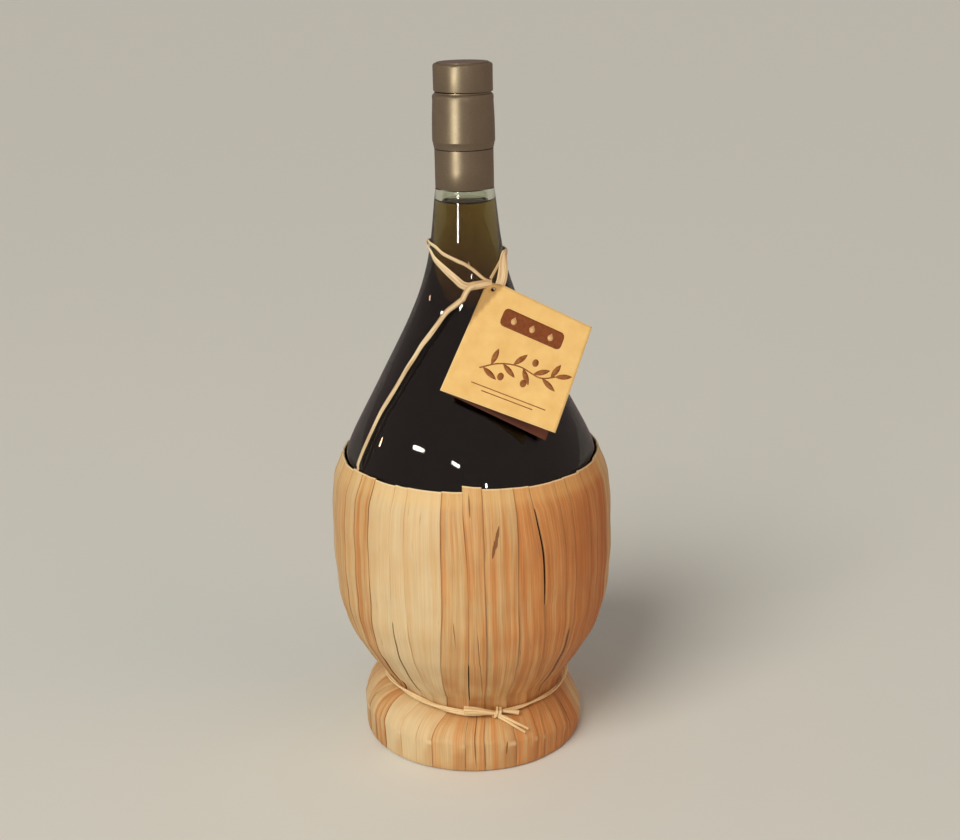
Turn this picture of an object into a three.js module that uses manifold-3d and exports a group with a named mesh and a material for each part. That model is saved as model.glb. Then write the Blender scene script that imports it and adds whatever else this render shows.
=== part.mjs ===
// Straw-covered flask of olive oil: a round glass bottle with a long neck and a bronze
// screw cap, dressed from the belly down in upright reed strips that a cord gathers at a
// waist above a flared foot. Raffia round the neck holds a folded card.
// Millimetres, +Z up, the front towards -Y, the origin under the middle of the foot.
import * as THREE from 'three';
import { mergeVertices } from 'three/addons/utils/BufferGeometryUtils.js';
import Module from 'manifold-3d';

const wasm = await Module();
wasm.setup();

const DEG = Math.PI / 180;
const CLEARANCE = 0.4;            // air between two touching pieces

// Glass, outer radius by height
const FACETS = 34;                // sides of every round piece
const BASE_HEIGHT = 7.8;          // the glass base above the table
const BASE_RADIUS = 26.4;
const BASE_FLAT = 7;              // width of the ring that the base stands on
const PUNT = 1.5;                 // rise of the base inside that ring
const FLOOR_THICKNESS = 5.3;
const FLOOR_RISE = 1;             // the floor inside is higher at its middle
const SLEEVE_BOTTOM = 294.9;
const MOUTH_HEIGHT = 352.5;
const FINISH_RADIUS = 13.5;       // the neck inside the cap
const MOUTH_ROUND = 1.5;
const BORE_BOTTOM = 319.9;        // the bore is straight from here to the mouth
const WALL = 3.3;
const BORE_RADIUS = 9.4;          // the mouth's opening
const OIL_LEVEL = 287.8;
const MENISCUS = 0.5;             // the oil's surface is lower at its middle
const GLASS_PROFILE = [
  [11.7, 30.3], [19.6, 35.6], [29.3, 40.7], [39.1, 45.6], [52.8, 55.4], [70.4, 65.7],
  [93.9, 70.4], [117.4, 71.3], [138.9, 70], [152.6, 67.2], [166.3, 62.2], [183.9, 52.8],
  [203.4, 42.9], [223, 32.7], [242.5, 24.1], [258.2, 19.5], [275.8, 16.8], [294, 14.9],
];
const NECK_WALL_FROM = 225;       // above this height the wall thickens towards the mouth
const NECK_WALL = 3.8;

// Basket of reed strips, outer radius by height
const RIM_HEIGHT = 158.8;
const WAIST_RADIUS = 48.2;
const STRIP_THICKNESS = 1.2;
const STRIP_GAP = 0.34 * DEG;     // between neighbours, as an angle
const BODY_ROWS = 10;             // steps of a strip from the rim to just above the waist
const FOOT_ROWS = 4;              // and from the waist to the crease of the foot
const SQUEEZE = 8;                // the strips leave the belly's curve this far above the cord
const GATHER = 3;                 // and reach the waist this far above it
const BASKET_PROFILE = [
  [29.3, 48.5], [35.2, 49.5], [41.1, 53.5], [54.8, 62.2], [72.4, 69.9], [93.9, 73.1], [117.4, 73.7],
  [140.8, 72.6], [153.5, 69.9], [160.4, 67.5],
];
// Widths of the strips that the front shows, in degrees, from the left side round to the right
const FRONT_START = -164;
const FRONT_WIDTHS = [
  12.3, 8.3, 8.9, 11.2, 6.6, 14.9, 10.4, 6.2, 13.3, 10.7, 11, 5.3, 9.6, 8.5, 7.5,
];
const BACK_STRIPS = 20;
const TALL_STRIP = 7;             // counted from 0: the strip whose end stands above the rim
const TALL_STRIP_RISE = 1.8;

// Waist cord: level at the sides, pulled down in front by its knot
const CORD_RADIUS = 1.4;
const WAIST_HEIGHT = 31.8;
const WAIST_TILT = 2.9;           // higher at the left than at the right
const WAIST_DIP = 3.3;
const WAIST_KNOT_ANGLE = -77;
const WAIST_KNOT_RADIUS = 2.4;
// Ends of the cord beyond its knot: [further out, angle in degrees, height above the knot]
const SHORT_END = [[1, -77, 0], [1.8, -84, 1.6], [2.4, -95, 2.6]];
const SHORT_END_RADIUS = 1;
const LONG_END = [[1, -77, 0], [3.6, -72, -1.6], [8, -66, -4.2], [12, -60, -8.6]];
const LONG_END_RADIUS = 0.9;

// Foot: a slope from the waist to a crease, then a wall to the table, leaner at the right
const CREASE_RADIUS = 61.1;
const CREASE_HEIGHT = 17.1;
const RIGHT_CREASE_LOSS = [2.9, 9.8];
const WALL_SLANT = 0.7;
const HEM_RADIUS = 53.3;          // how far under the foot the strips are turned
const HEM_LIFT = 0.4;
const FLARE = [0.62, 0.3];        // bend of the foot's slope: share of its width, drop
const RIGHT_FLARE = [0.2, 7];     // how much less wide and more dropped at the right
const RING_BOTTOM_RADII = [37, 52.4];
const RING_LEVELS = [12, 20];     // where the ring's inside follows the glass

// Three shells of the screw cap
const CAP_OUTER = 14.8;
const CAP_WALL = 0.8;
const CAP_TOP = 354.8;
const CAP_EDGE = 1.7;             // rounding of the top's edge
const CAP_RIM = 1;                // width of the raised rim inside that edge
const CAP_DISH = 0.5;             // the top is this much lower inside the rim
const CAP_ROOF = 2;               // from the top down to the inside of the cap
const GROOVE_HEIGHT = 341.1;
const SLEEVE_TOP = 313.9;
const BARREL_RADIUS = 15.75;
const BARREL_FOOT = 4.5;          // height of the barrel's flared foot
const BARREL_STRAIGHT = 12;
const BARREL_SHOULDER = 2.4;

// Raffia tie, tail and card
const STRAND_RADIUS = 0.8;
const TAIL_RADIUS = 0.9;
const KNOT_SIZE = [3, 1.6, 2.3];  // half sizes
const LOWER_LIFT = 0.3;           // the lower turn lies this much further out
const TAG = {
  hole: [12.4, -24.7, 248.3],     // centre of the punched hole
  turn: 12.5 * DEG,               // the face looks this far to the right of the front
  lean: 32 * DEG,                 // and this far up
  spin: -28 * DEG,                // turned in its own plane
  width: 58.2,
  height: 60.1,
  holeInset: [4.4, 3.5],          // from the folded edge and from the top edge
  holeRadius: 1.3,
  opening: 14 * DEG,              // between the two leaves
  thickness: 0.5,
};

// A smooth curve through a profile's stations, as a function of height
function smooth(stations) {
  const slopes = stations.map((point, i) => {
    const before = stations[Math.max(0, i - 1)];
    const after = stations[Math.min(stations.length - 1, i + 1)];
    return (after[1] - before[1]) / (after[0] - before[0]);
  });
  return (height) => {
    const last = stations.length - 2;
    let i = 0;
    while (i < last && height > stations[i + 1][0]) i += 1;
    const [x0, y0] = stations[i];
    const [x1, y1] = stations[i + 1];
    const span = x1 - x0;
    const t = (height - x0) / span;
    const a = y0 + slopes[i] * span * t;
    const b = y1 - slopes[i + 1] * span * (1 - t);
    const s = t * t * (3 - 2 * t);
    return a + (b - a) * s;
  };
}

const glassRadius = smooth(GLASS_PROFILE);
const basketRadius = smooth(BASKET_PROFILE);

// The same list of draws on every run
function drawer(seed) {
  let state = seed;
  return () => {
    state = (state * 16807) % 2147483647;
    return state / 2147483647;
  };
}

const group = new THREE.Group();

function add(name, geometry, color, roughness, metalness = 0, extra = {}) {
  const material = new THREE.MeshStandardMaterial({ color, roughness, metalness, ...extra });
  const mesh = new THREE.Mesh(geometry, material);
  mesh.name = name;
  group.add(mesh);
  return mesh;
}

// A body of revolution round +Z from [radius, height] points
function turned(points, facets = FACETS) {
  const geometry = new THREE.LatheGeometry(points.map(([r, z]) => new THREE.Vector2(r, z)), facets);
  return geometry.rotateX(Math.PI / 2);
}

// Skin over rings of points: each ring runs the same way round, with the same number of points
function loft(rings, closed) {
  const count = rings[0].length;
  const position = rings.flat().flatMap((p) => [p.x, p.y, p.z]);
  const index = [];
  const steps = closed ? rings.length : rings.length - 1;
  for (let i = 0; i < steps; i += 1) {
    const here = i * count;
    const next = ((i + 1) % rings.length) * count;
    for (let j = 0; j < count; j += 1) {
      const k = (j + 1) % count;
      index.push(here + j, next + j, next + k, here + j, next + k, here + k);
    }
  }
  if (!closed) {
    const end = (rings.length - 1) * count;
    for (let j = 1; j < count - 1; j += 1) {
      index.push(0, j, j + 1, end, end + j + 1, end + j);
    }
  }
  const geometry = new THREE.BufferGeometry();
  geometry.setAttribute('position', new THREE.Float32BufferAttribute(position, 3));
  geometry.setIndex(index);
  return geometry;
}

function at(radius, angle, height) {
  return new THREE.Vector3(radius * Math.cos(angle), radius * Math.sin(angle), height);
}

// Glass bottle and the oil in it
function neckWall(height) {
  const t = THREE.MathUtils.smoothstep(height, NECK_WALL_FROM, SLEEVE_BOTTOM);
  return WALL + (NECK_WALL - WALL) * t;
}

function innerGlass(height) {
  return glassRadius(height) - neckWall(height);
}

// Heights from one level to another in even steps
function levels(from, to, steps) {
  return Array.from({ length: steps + 1 }, (_, i) => from + ((to - from) * i) / steps);
}

const HEEL_HEIGHT = GLASS_PROFILE[0][0];
const SHOULDER_TOP = GLASS_PROFILE[GLASS_PROFILE.length - 1][0];
const INNER_LEVELS = levels(HEEL_HEIGHT + 2 * WALL, SHOULDER_TOP, 13);
const FLOOR = BASE_HEIGHT + FLOOR_THICKNESS;

function glassPoints() {
  const outside = levels(HEEL_HEIGHT, SHOULDER_TOP, 22).map((z) => [glassRadius(z), z]);
  const inside = INNER_LEVELS.map((z) => [innerGlass(z), z]).reverse();
  return [
    [0, BASE_HEIGHT + PUNT],
    [BASE_RADIUS - BASE_FLAT, BASE_HEIGHT],
    [BASE_RADIUS, BASE_HEIGHT],
    ...outside,
    [FINISH_RADIUS, SLEEVE_BOTTOM],
    [FINISH_RADIUS, MOUTH_HEIGHT - MOUTH_ROUND],
    [FINISH_RADIUS - MOUTH_ROUND, MOUTH_HEIGHT],
    [BORE_RADIUS, MOUTH_HEIGHT],
    [BORE_RADIUS, BORE_BOTTOM],
    ...inside,
    [BASE_RADIUS, FLOOR],
    [0, FLOOR + FLOOR_RISE],
  ];
}

function oilPoints() {
  const covered = INNER_LEVELS.filter((z) => z < OIL_LEVEL);
  const side = covered.map((z) => [innerGlass(z) - CLEARANCE, z]);
  return [
    [0, FLOOR + FLOOR_RISE + CLEARANCE],
    [BASE_RADIUS - 2.5 * CLEARANCE, FLOOR + 1.5 * CLEARANCE],
    ...side,
    [innerGlass(OIL_LEVEL) - CLEARANCE, OIL_LEVEL],
    [0, OIL_LEVEL - MENISCUS],
  ];
}

// Waist and foot, all the way round
function waistHeight(angle) {
  const front = Math.max(0, -Math.sin(angle)) ** 6;
  return WAIST_HEIGHT - WAIST_TILT * Math.cos(angle) - WAIST_DIP * front;
}

function rightness(angle) {
  return ((1 + Math.cos(angle)) / 2) ** 6;
}

function crease(angle) {
  const share = rightness(angle);
  return new THREE.Vector2(
    CREASE_RADIUS - RIGHT_CREASE_LOSS[0] * share,
    CREASE_HEIGHT - RIGHT_CREASE_LOSS[1] * share,
  );
}

// The strips' outer line in the plane of one angle, from the rim to the hem under the foot
function stripLine(angle, rim) {
  const cord = waistHeight(angle);
  const waist = new THREE.Vector2(WAIST_RADIUS, cord - CORD_RADIUS - CLEARANCE);
  const line = [];
  const squeeze = cord + SQUEEZE;
  for (let i = 0; i < BODY_ROWS; i += 1) {
    const z = rim + ((squeeze - rim) * i) / (BODY_ROWS - 1);
    line.push(new THREE.Vector2(basketRadius(z), z));
  }
  line.push(new THREE.Vector2(WAIST_RADIUS + CLEARANCE, cord + GATHER));
  const fold = crease(angle);
  const share = rightness(angle);
  const reach = (FLARE[0] - RIGHT_FLARE[0] * share) * (fold.x - waist.x);
  const drop = FLARE[1] + RIGHT_FLARE[1] * share;
  const control = new THREE.Vector2(waist.x + reach, waist.y - drop);
  const slope = new THREE.QuadraticBezierCurve(waist, control, fold);
  line.push(...slope.getPoints(FOOT_ROWS));
  line.push(new THREE.Vector2(fold.x - WALL_SLANT, HEM_LIFT));
  return line;
}

// The line moved inwards by a distance, square to itself
function inwards(line, distance) {
  return line.map((point, i) => {
    const before = line[Math.max(0, i - 1)];
    const after = line[Math.min(line.length - 1, i + 1)];
    const along = after.clone().sub(before).normalize();
    return new THREE.Vector2(point.x + along.y * distance, point.y - along.x * distance);
  });
}

function stripGeometry(from, to, rim) {
  const middle = (from + to) / 2;
  const outer = stripLine(middle, rim);
  const inner = inwards(outer, STRIP_THICKNESS);
  const lift = HEM_LIFT + STRIP_THICKNESS;
  const last = outer.length - 1;
  inner[last] = new THREE.Vector2(outer[last].x - STRIP_THICKNESS, lift);
  outer.push(new THREE.Vector2(HEM_RADIUS, HEM_LIFT));
  inner.push(new THREE.Vector2(HEM_RADIUS, lift));
  const rings = outer.map((point, i) => [
    at(inner[i].x, to, inner[i].y),
    at(inner[i].x, from, inner[i].y),
    at(point.x, from, point.y),
    at(point.x, to, point.y),
  ]);
  return loft(rings, false);
}

function stripAngles() {
  const draw = drawer(11);
  const angles = [FRONT_START * DEG];
  FRONT_WIDTHS.forEach((width) => angles.push(angles[angles.length - 1] + width * DEG));
  const left = FRONT_START * DEG + 2 * Math.PI - angles[angles.length - 1];
  const shares = Array.from({ length: BACK_STRIPS }, () => 0.7 + 0.6 * draw());
  const total = shares.reduce((sum, share) => sum + share, 0);
  shares.forEach((share) => angles.push(angles[angles.length - 1] + (left * share) / total));
  return angles;
}

function addStrips() {
  const draw = drawer(29);
  const angles = stripAngles();
  const tones = ['#d9b57c', '#cfa468', '#e0bf8a', '#c4935a', '#d3aa70'];
  for (let i = 0; i < angles.length - 1; i += 1) {
    const rise = i === TALL_STRIP ? TALL_STRIP_RISE : draw() - 0.5;
    const geometry = stripGeometry(angles[i] + STRIP_GAP / 2, angles[i + 1] - STRIP_GAP / 2,
      RIM_HEIGHT + rise);
    const name = `strip_${String(i + 1).padStart(2, '0')}`;
    add(name, geometry, tones[i % tones.length], 0.62);
  }
}

// Ring of packed straw inside the foot: it carries the glass and stands on the table
function ringSection(angle) {
  const depth = STRIP_THICKNESS + 3 * CLEARANCE;
  const skin = inwards(stripLine(angle, RIM_HEIGHT), depth);
  const shoulder = skin.slice(BODY_ROWS + 1);
  const wall = shoulder.pop();
  const hemTop = HEM_LIFT + STRIP_THICKNESS + CLEARANCE;
  const top = shoulder[0].y;
  const inner = (z) => Math.max(RING_BOTTOM_RADII[0], glassRadius(z) + CLEARANCE);
  return [
    ...shoulder.map((point) => at(point.x, angle, point.y)),
    at(wall.x, angle, hemTop),
    at(RING_BOTTOM_RADII[1], angle, hemTop),
    at(RING_BOTTOM_RADII[1], angle, 0),
    at(RING_BOTTOM_RADII[0], angle, 0),
    ...RING_LEVELS.map((z) => at(inner(z), angle, z)),
    at(inner(top), angle, top),
  ];
}

function ringGeometry() {
  const rings = [];
  for (let i = 0; i < FACETS; i += 1) {
    rings.push(ringSection((-2 * Math.PI * i) / FACETS));
  }
  return loft(rings, true);
}

// Waist cord: a torus whose height follows the waist
const CORD_PATH = WAIST_RADIUS + CLEARANCE + CORD_RADIUS;

function cordGeometry() {
  const geometry = new THREE.TorusGeometry(CORD_PATH, CORD_RADIUS, 6, 52);
  const place = geometry.attributes.position;
  for (let i = 0; i < place.count; i += 1) {
    const angle = Math.atan2(place.getY(i), place.getX(i));
    place.setZ(i, place.getZ(i) + waistHeight(angle));
  }
  return geometry;
}

// A round strand along points [radius off the axis, angle in degrees, height]
function strand(points, radius, steps, sides = 5) {
  const path = new THREE.CatmullRomCurve3(points.map(([r, angle, z]) => at(r, angle * DEG, z)));
  const section = new THREE.Shape();
  for (let i = 0; i < sides; i += 1) {
    const angle = (2 * Math.PI * i) / sides;
    const x = radius * Math.cos(angle);
    const y = radius * Math.sin(angle);
    if (i === 0) section.moveTo(x, y);
    else section.lineTo(x, y);
  }
  return new THREE.ExtrudeGeometry(section, { steps, extrudePath: path, curveSegments: 1 });
}

// Joins overlapping geometries into one closed body
function joined(geometries) {
  const solids = geometries.map((geometry) => {
    geometry.deleteAttribute('normal');
    geometry.deleteAttribute('uv');
    const merged = mergeVertices(geometry, 1e-3);
    return new wasm.Manifold(new wasm.Mesh({
      numProp: 3,
      vertProperties: new Float32Array(merged.attributes.position.array),
      triVerts: new Uint32Array(merged.index.array),
    }));
  });
  const mesh = solids.reduce((sum, solid) => sum.add(solid)).getMesh();
  const geometry = new THREE.BufferGeometry();
  geometry.setAttribute('position', new THREE.BufferAttribute(mesh.vertProperties, 3));
  geometry.setIndex(new THREE.BufferAttribute(mesh.triVerts, 1));
  return geometry;
}

function waistCord() {
  const angle = WAIST_KNOT_ANGLE * DEG;
  const height = waistHeight(angle);
  const centre = at(CORD_PATH + WAIST_KNOT_RADIUS - CORD_RADIUS, angle, height);
  const knot = new THREE.SphereGeometry(WAIST_KNOT_RADIUS, 8, 6);
  knot.translate(centre.x, centre.y, centre.z);
  const end = (route) => route.map(([out, degrees, rise]) => [
    CORD_PATH + out, degrees, height + rise,
  ]);
  return joined([
    cordGeometry(),
    knot,
    strand(end(SHORT_END), SHORT_END_RADIUS, 6),
    strand(end(LONG_END), LONG_END_RADIUS, 8),
  ]);
}

// Raffia tie: two turns round the neck, lower in front, whose ends meet behind the card's
// corner. Routes are [angle in degrees, height] on the glass, running clockwise from above.
const TIE_BACK = [[-205, 267], [-250, 264.5], [-300, 260.1]];
const LOWER_TURN = [
  [-64, 250], [-76, 248.6], [-88, 247.8], [-112, 254.9], [-135, 260.2], [-158, 265],
  ...TIE_BACK, [-340, 256.7], [-377, 252.9], [-397, 248.8], [-414, 248.4],
];
const UPPER_TURN = [
  [-63, 251.3], [-87, 259], [-121, 263.9], [-151, 267.2], ...TIE_BACK,
  [-340, 261.6], [-383, 260.9], [-406, 255.6], [-419, 251.7],
];
const KNOT = [-89, 247.4];
const WRAP_STEPS = 34;

function onGlass(angle, z, lift) {
  return [glassRadius(z) + lift, angle, z];
}

// A route round the glass, cut into short steps so that it hugs the curve
function wrapped(route, lift) {
  const height = smooth([...route].reverse());
  const start = route[0][0];
  const end = route[route.length - 1][0];
  return Array.from({ length: WRAP_STEPS + 1 }, (_, i) => {
    const angle = start + ((end - start) * i) / WRAP_STEPS;
    return onGlass(angle, height(angle), lift);
  });
}

function neckTie() {
  const lift = STRAND_RADIUS + 1.5 * CLEARANCE;
  const knot = new THREE.SphereGeometry(1, 8, 6);
  knot.scale(...KNOT_SIZE);
  const [angle, z] = KNOT;
  const centre = at(glassRadius(z) + KNOT_SIZE[1] + 2 * CLEARANCE, angle * DEG, z);
  knot.translate(centre.x, centre.y, centre.z);
  return joined([
    knot,
    strand(wrapped(LOWER_TURN, lift + LOWER_LIFT), STRAND_RADIUS, WRAP_STEPS + 2),
    strand(wrapped(UPPER_TURN, lift), STRAND_RADIUS, WRAP_STEPS + 2),
  ]);
}

// Tail of raffia from the knot down the shoulder to the basket rim
const TAIL_ROUTE = [
  [-94, 243.9], [-102, 241.2], [-111.5, 237.6], [-119, 231.8], [-125, 226.4], [-130.5, 221.2],
  [-134, 215.6], [-137.5, 210.3], [-140, 205], [-142.6, 199], [-145.2, 193.2], [-147.4, 187.4],
  [-148.4, 180.1], [-149, 173.2], [-149.4, 167.6], [-149.7, 162],
];

function tailGeometry() {
  const points = TAIL_ROUTE.map(([angle, z]) => onGlass(angle, z, TAIL_RADIUS + 1.5 * CLEARANCE));
  return strand(points, TAIL_RADIUS, 32, 8);
}

// Folded card: two thin leaves joined along a fold at the left edge, with a punched hole
function tagGeometry() {
  const { width, height, thickness, opening, holeInset, holeRadius } = TAG;
  const leaf = () => {
    const outline = new THREE.Shape();
    outline.moveTo(0, 0);
    outline.lineTo(0, -height);
    outline.lineTo(width, -height);
    outline.lineTo(width, 0);
    const hole = new THREE.Path();
    hole.absarc(holeInset[0], -holeInset[1], holeRadius, 0, 2 * Math.PI, true);
    outline.holes.push(hole);
    const solid = new THREE.ExtrudeGeometry(outline,
      { depth: thickness, bevelEnabled: false, curveSegments: 8 });
    return solid.translate(0, 0, -thickness);
  };
  const front = leaf();
  const back = leaf().rotateY(opening);
  const fold = new THREE.CylinderGeometry(thickness, thickness, height, 8);
  fold.translate(0, -height / 2, -thickness / 2);
  const card = joined([front, back, fold]);
  card.translate(-holeInset[0], holeInset[1], 0);
  const normal = new THREE.Vector3(
    Math.sin(TAG.turn) * Math.cos(TAG.lean),
    -Math.cos(TAG.turn) * Math.cos(TAG.lean),
    Math.sin(TAG.lean),
  );
  const up = new THREE.Vector3(0, 0, 1).addScaledVector(normal, -normal.z).normalize();
  const right = new THREE.Vector3().crossVectors(up, normal);
  const frame = new THREE.Matrix4().makeBasis(right, up, normal);
  card.applyMatrix4(new THREE.Matrix4().makeRotationZ(TAG.spin));
  card.applyMatrix4(frame);
  card.translate(...TAG.hole);
  return card;
}

// Screw cap: a top that turns off, the barrel over the thread and a plain sleeve
const CAP_INNER = CAP_OUTER - CAP_WALL;

function capTopPoints() {
  const dish = CAP_TOP - CAP_DISH;
  const arcSteps = 3;
  const points = [[0, dish], [CAP_OUTER - CAP_EDGE - CAP_RIM, dish]];
  for (let i = 0; i <= arcSteps; i += 1) {
    const angle = (i / arcSteps) * (Math.PI / 2);
    points.push([
      CAP_OUTER - CAP_EDGE + CAP_EDGE * Math.sin(angle),
      CAP_TOP - CAP_EDGE + CAP_EDGE * Math.cos(angle),
    ]);
  }
  points.push([CAP_OUTER, GROOVE_HEIGHT + CLEARANCE]);
  points.push([CAP_INNER, GROOVE_HEIGHT + CLEARANCE]);
  points.push([CAP_INNER, CAP_TOP - CAP_ROOF]);
  points.push([0, CAP_TOP - CAP_ROOF]);
  return points.reverse();
}

function barrelPoints() {
  return [
    [CAP_INNER, GROOVE_HEIGHT],
    [CAP_INNER, SLEEVE_TOP + CLEARANCE],
    [CAP_OUTER, SLEEVE_TOP + CLEARANCE],
    [BARREL_RADIUS, SLEEVE_TOP + BARREL_FOOT],
    [BARREL_RADIUS - 0.1, SLEEVE_TOP + BARREL_STRAIGHT],
    [BARREL_RADIUS - 0.6, GROOVE_HEIGHT - BARREL_SHOULDER],
    [CAP_OUTER - CLEARANCE, GROOVE_HEIGHT],
    [CAP_INNER, GROOVE_HEIGHT],
  ];
}

function sleevePoints() {
  return [
    [CAP_INNER, SLEEVE_TOP],
    [CAP_INNER, SLEEVE_BOTTOM + CLEARANCE],
    [CAP_OUTER, SLEEVE_BOTTOM + CLEARANCE],
    [CAP_OUTER, SLEEVE_TOP],
    [CAP_INNER, SLEEVE_TOP],
  ];
}

add('glass_flask', turned(glassPoints()), '#39331a', 0.05, 0, { transparent: true, opacity: 0.5 });
add('oil', turned(oilPoints()), '#3a2a0a', 0.1);
add('cap_top', turned(capTopPoints()), '#7a6a4c', 0.38, 0.9);
add('cap_barrel', turned(barrelPoints()), '#76664a', 0.38, 0.9);
add('cap_sleeve', turned(sleevePoints()), '#76644a', 0.4, 0.9);
add('foot_ring', ringGeometry(), '#b98c52', 0.85);
addStrips();
add('waist_cord', waistCord(), '#dcb883', 0.6);
add('neck_tie', neckTie(), '#e3c594', 0.65);
add('raffia_tail', tailGeometry(), '#e6caa0', 0.65);
add('tag', tagGeometry(), '#f3cf86', 0.7);

export default group;
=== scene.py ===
# Straw-covered flask of olive oil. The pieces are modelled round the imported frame, in its place.
# Sizes in the dictionaries are millimetres and degrees; meshes are metres, +Z up, front at -Y.
import math
import random

import bmesh
import bpy
from mathutils import Matrix, Vector, noise


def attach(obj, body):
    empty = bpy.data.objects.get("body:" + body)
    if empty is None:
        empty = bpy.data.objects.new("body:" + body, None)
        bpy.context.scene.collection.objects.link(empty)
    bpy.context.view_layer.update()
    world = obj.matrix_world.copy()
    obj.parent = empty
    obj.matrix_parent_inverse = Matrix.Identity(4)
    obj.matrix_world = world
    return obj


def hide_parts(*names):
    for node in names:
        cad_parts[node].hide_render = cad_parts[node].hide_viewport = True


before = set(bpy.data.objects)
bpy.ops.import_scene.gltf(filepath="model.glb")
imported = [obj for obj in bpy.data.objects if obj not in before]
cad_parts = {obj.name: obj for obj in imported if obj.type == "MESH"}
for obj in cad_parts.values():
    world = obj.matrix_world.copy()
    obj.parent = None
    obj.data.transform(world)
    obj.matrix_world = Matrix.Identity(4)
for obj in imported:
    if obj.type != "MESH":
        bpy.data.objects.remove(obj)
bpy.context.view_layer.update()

mm = 0.001
sameSpot = 0.001 * mm
uvPerMm = 0.01
scene = bpy.context.scene


# Camera at the photograph's place
cameraSet = {
    "place": (5.28, -704.2, 405.9),
    "pitchDown": 18.3,
    "roll": -1.13,
    "focalPixels": 1420,
    "imageWidth": 960,
    "sensor": 36,
}


def makeCamera():
    data = bpy.data.cameras.new("camera")
    data.sensor_width = cameraSet["sensor"]
    data.lens = cameraSet["focalPixels"] / cameraSet["imageWidth"] * cameraSet["sensor"]
    data.clip_start = 0.05
    camera = bpy.data.objects.new("camera", data)
    scene.collection.objects.link(camera)
    tilt = Matrix.Rotation(math.radians(90 - cameraSet["pitchDown"]), 4, "X")
    roll = Matrix.Rotation(math.radians(cameraSet["roll"]), 4, "Z")
    camera.matrix_world = Matrix.Translation(Vector(cameraSet["place"]) * mm) @ tilt @ roll
    scene.camera = camera


makeCamera()
print("camera placed")


# A smooth curve through (place, value) stations, carried on past both ends
def smoothProfile(stations):
    last = len(stations) - 1
    slopes = []
    for i in range(last + 1):
        before = stations[max(0, i - 1)]
        after = stations[min(last, i + 1)]
        slopes.append((after[1] - before[1]) / (after[0] - before[0]))

    def value(place):
        i = 0
        while i < last - 1 and place > stations[i + 1][0]:
            i += 1
        (x0, y0), (x1, y1) = stations[i], stations[i + 1]
        span = x1 - x0
        t = (place - x0) / span
        a = y0 + slopes[i] * span * t
        b = y1 - slopes[i + 1] * span * (1 - t)
        return a + (b - a) * t * t * (3 - 2 * t)

    return value


def at(radius, degrees, height):
    angle = math.radians(degrees)
    return Vector((radius * math.cos(angle), radius * math.sin(angle), height)) * mm


def evenly(start, end, steps):
    return [start + (end - start) * i / steps for i in range(steps + 1)]


def blendStep(edge0, edge1, value):
    t = min(1, max(0, (value - edge0) / (edge1 - edge0)))
    return t * t * (3 - 2 * t)


# A bmesh becomes a smooth-shaded object at the origin, sharp only past the given angle
def asObject(name, bm, sharpAngle=40):
    mesh = bpy.data.meshes.new(name)
    bm.to_mesh(mesh)
    bm.free()
    mesh.shade_smooth()
    mesh.set_sharp_from_angle(angle=math.radians(sharpAngle))
    piece = bpy.data.objects.new(name, mesh)
    scene.collection.objects.link(piece)
    return piece


# Every piece rides on the one body, takes a material, and may stand for CAD nodes, which it hides
def dress(piece, material, slot, *nodes):
    piece.data.materials.append(material)
    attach(piece, "root")
    if nodes:
        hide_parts(*nodes)
    return piece


# Spins an outline of (radius, height) points about the bottle's axis; reshape moves each vertex
def turned(name, outline, steps=128, sharpAngle=40, reshape=None):
    bm = bmesh.new()
    verts = [bm.verts.new((r * mm, 0, z * mm)) for r, z in outline]
    edges = [bm.edges.new(pair) for pair in zip(verts, verts[1:])]
    bmesh.ops.spin(bm, geom=verts + edges, cent=(0, 0, 0), axis=(0, 0, 1), angle=math.tau,
                   steps=steps, use_merge=True)
    bmesh.ops.remove_doubles(bm, verts=bm.verts, dist=sameSpot)
    bmesh.ops.recalc_face_normals(bm, faces=bm.faces)
    if bm.calc_volume(signed=True) < 0:
        bmesh.ops.reverse_faces(bm, faces=bm.faces)
    if reshape:
        for vert in bm.verts:
            vert.co = reshape(vert.co)
    return asObject(name, bm, sharpAngle)


# Sweeps an oval along stations of (centre, across, outward, half width, half thickness).
# The attribute "across" runs over the section, shifted between its two faces, and "along" runs
# down its length in metres.
faceShift = 0.35


def sweep(bm, stations, sides=10):
    around = bm.verts.layers.float.get("across") or bm.verts.layers.float.new("across")
    along = bm.verts.layers.float.get("along") or bm.verts.layers.float.new("along")

    def frameOf(station):
        centre, across, outward, halfWidth, halfThick = station
        x = across.normalized()
        z = x.cross(outward).normalized()
        y = z.cross(x)
        basis = Matrix((x * halfWidth, y * halfThick, z * halfWidth)).transposed()
        return Matrix.Translation(centre) @ basis.to_4x4()

    ring = bmesh.ops.create_circle(bm, segments=sides, radius=1, cap_ends=True)["verts"]
    for vert in ring:
        vert[around] = vert.co.x + faceShift * vert.co.y
    edges = list({e for v in ring for e in v.link_edges})
    place = frameOf(stations[0])
    bmesh.ops.transform(bm, matrix=place, verts=ring)
    travelled = 0
    for i, station in enumerate(stations[1:]):
        made = bmesh.ops.extrude_edge_only(bm, edges=edges)["geom"]
        ring = [g for g in made if isinstance(g, bmesh.types.BMVert)]
        edges = [g for g in made if isinstance(g, bmesh.types.BMEdge)]
        edges = [e for e in edges if all(v in ring for v in e.verts)]
        following = frameOf(station)
        bmesh.ops.transform(bm, matrix=following @ place.inverted(), verts=ring)
        travelled += (station[0] - stations[i][0]).length
        for vert in ring:
            vert[along] = travelled
        place = following
    bmesh.ops.edgeloop_fill(bm, edges=edges)


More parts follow.
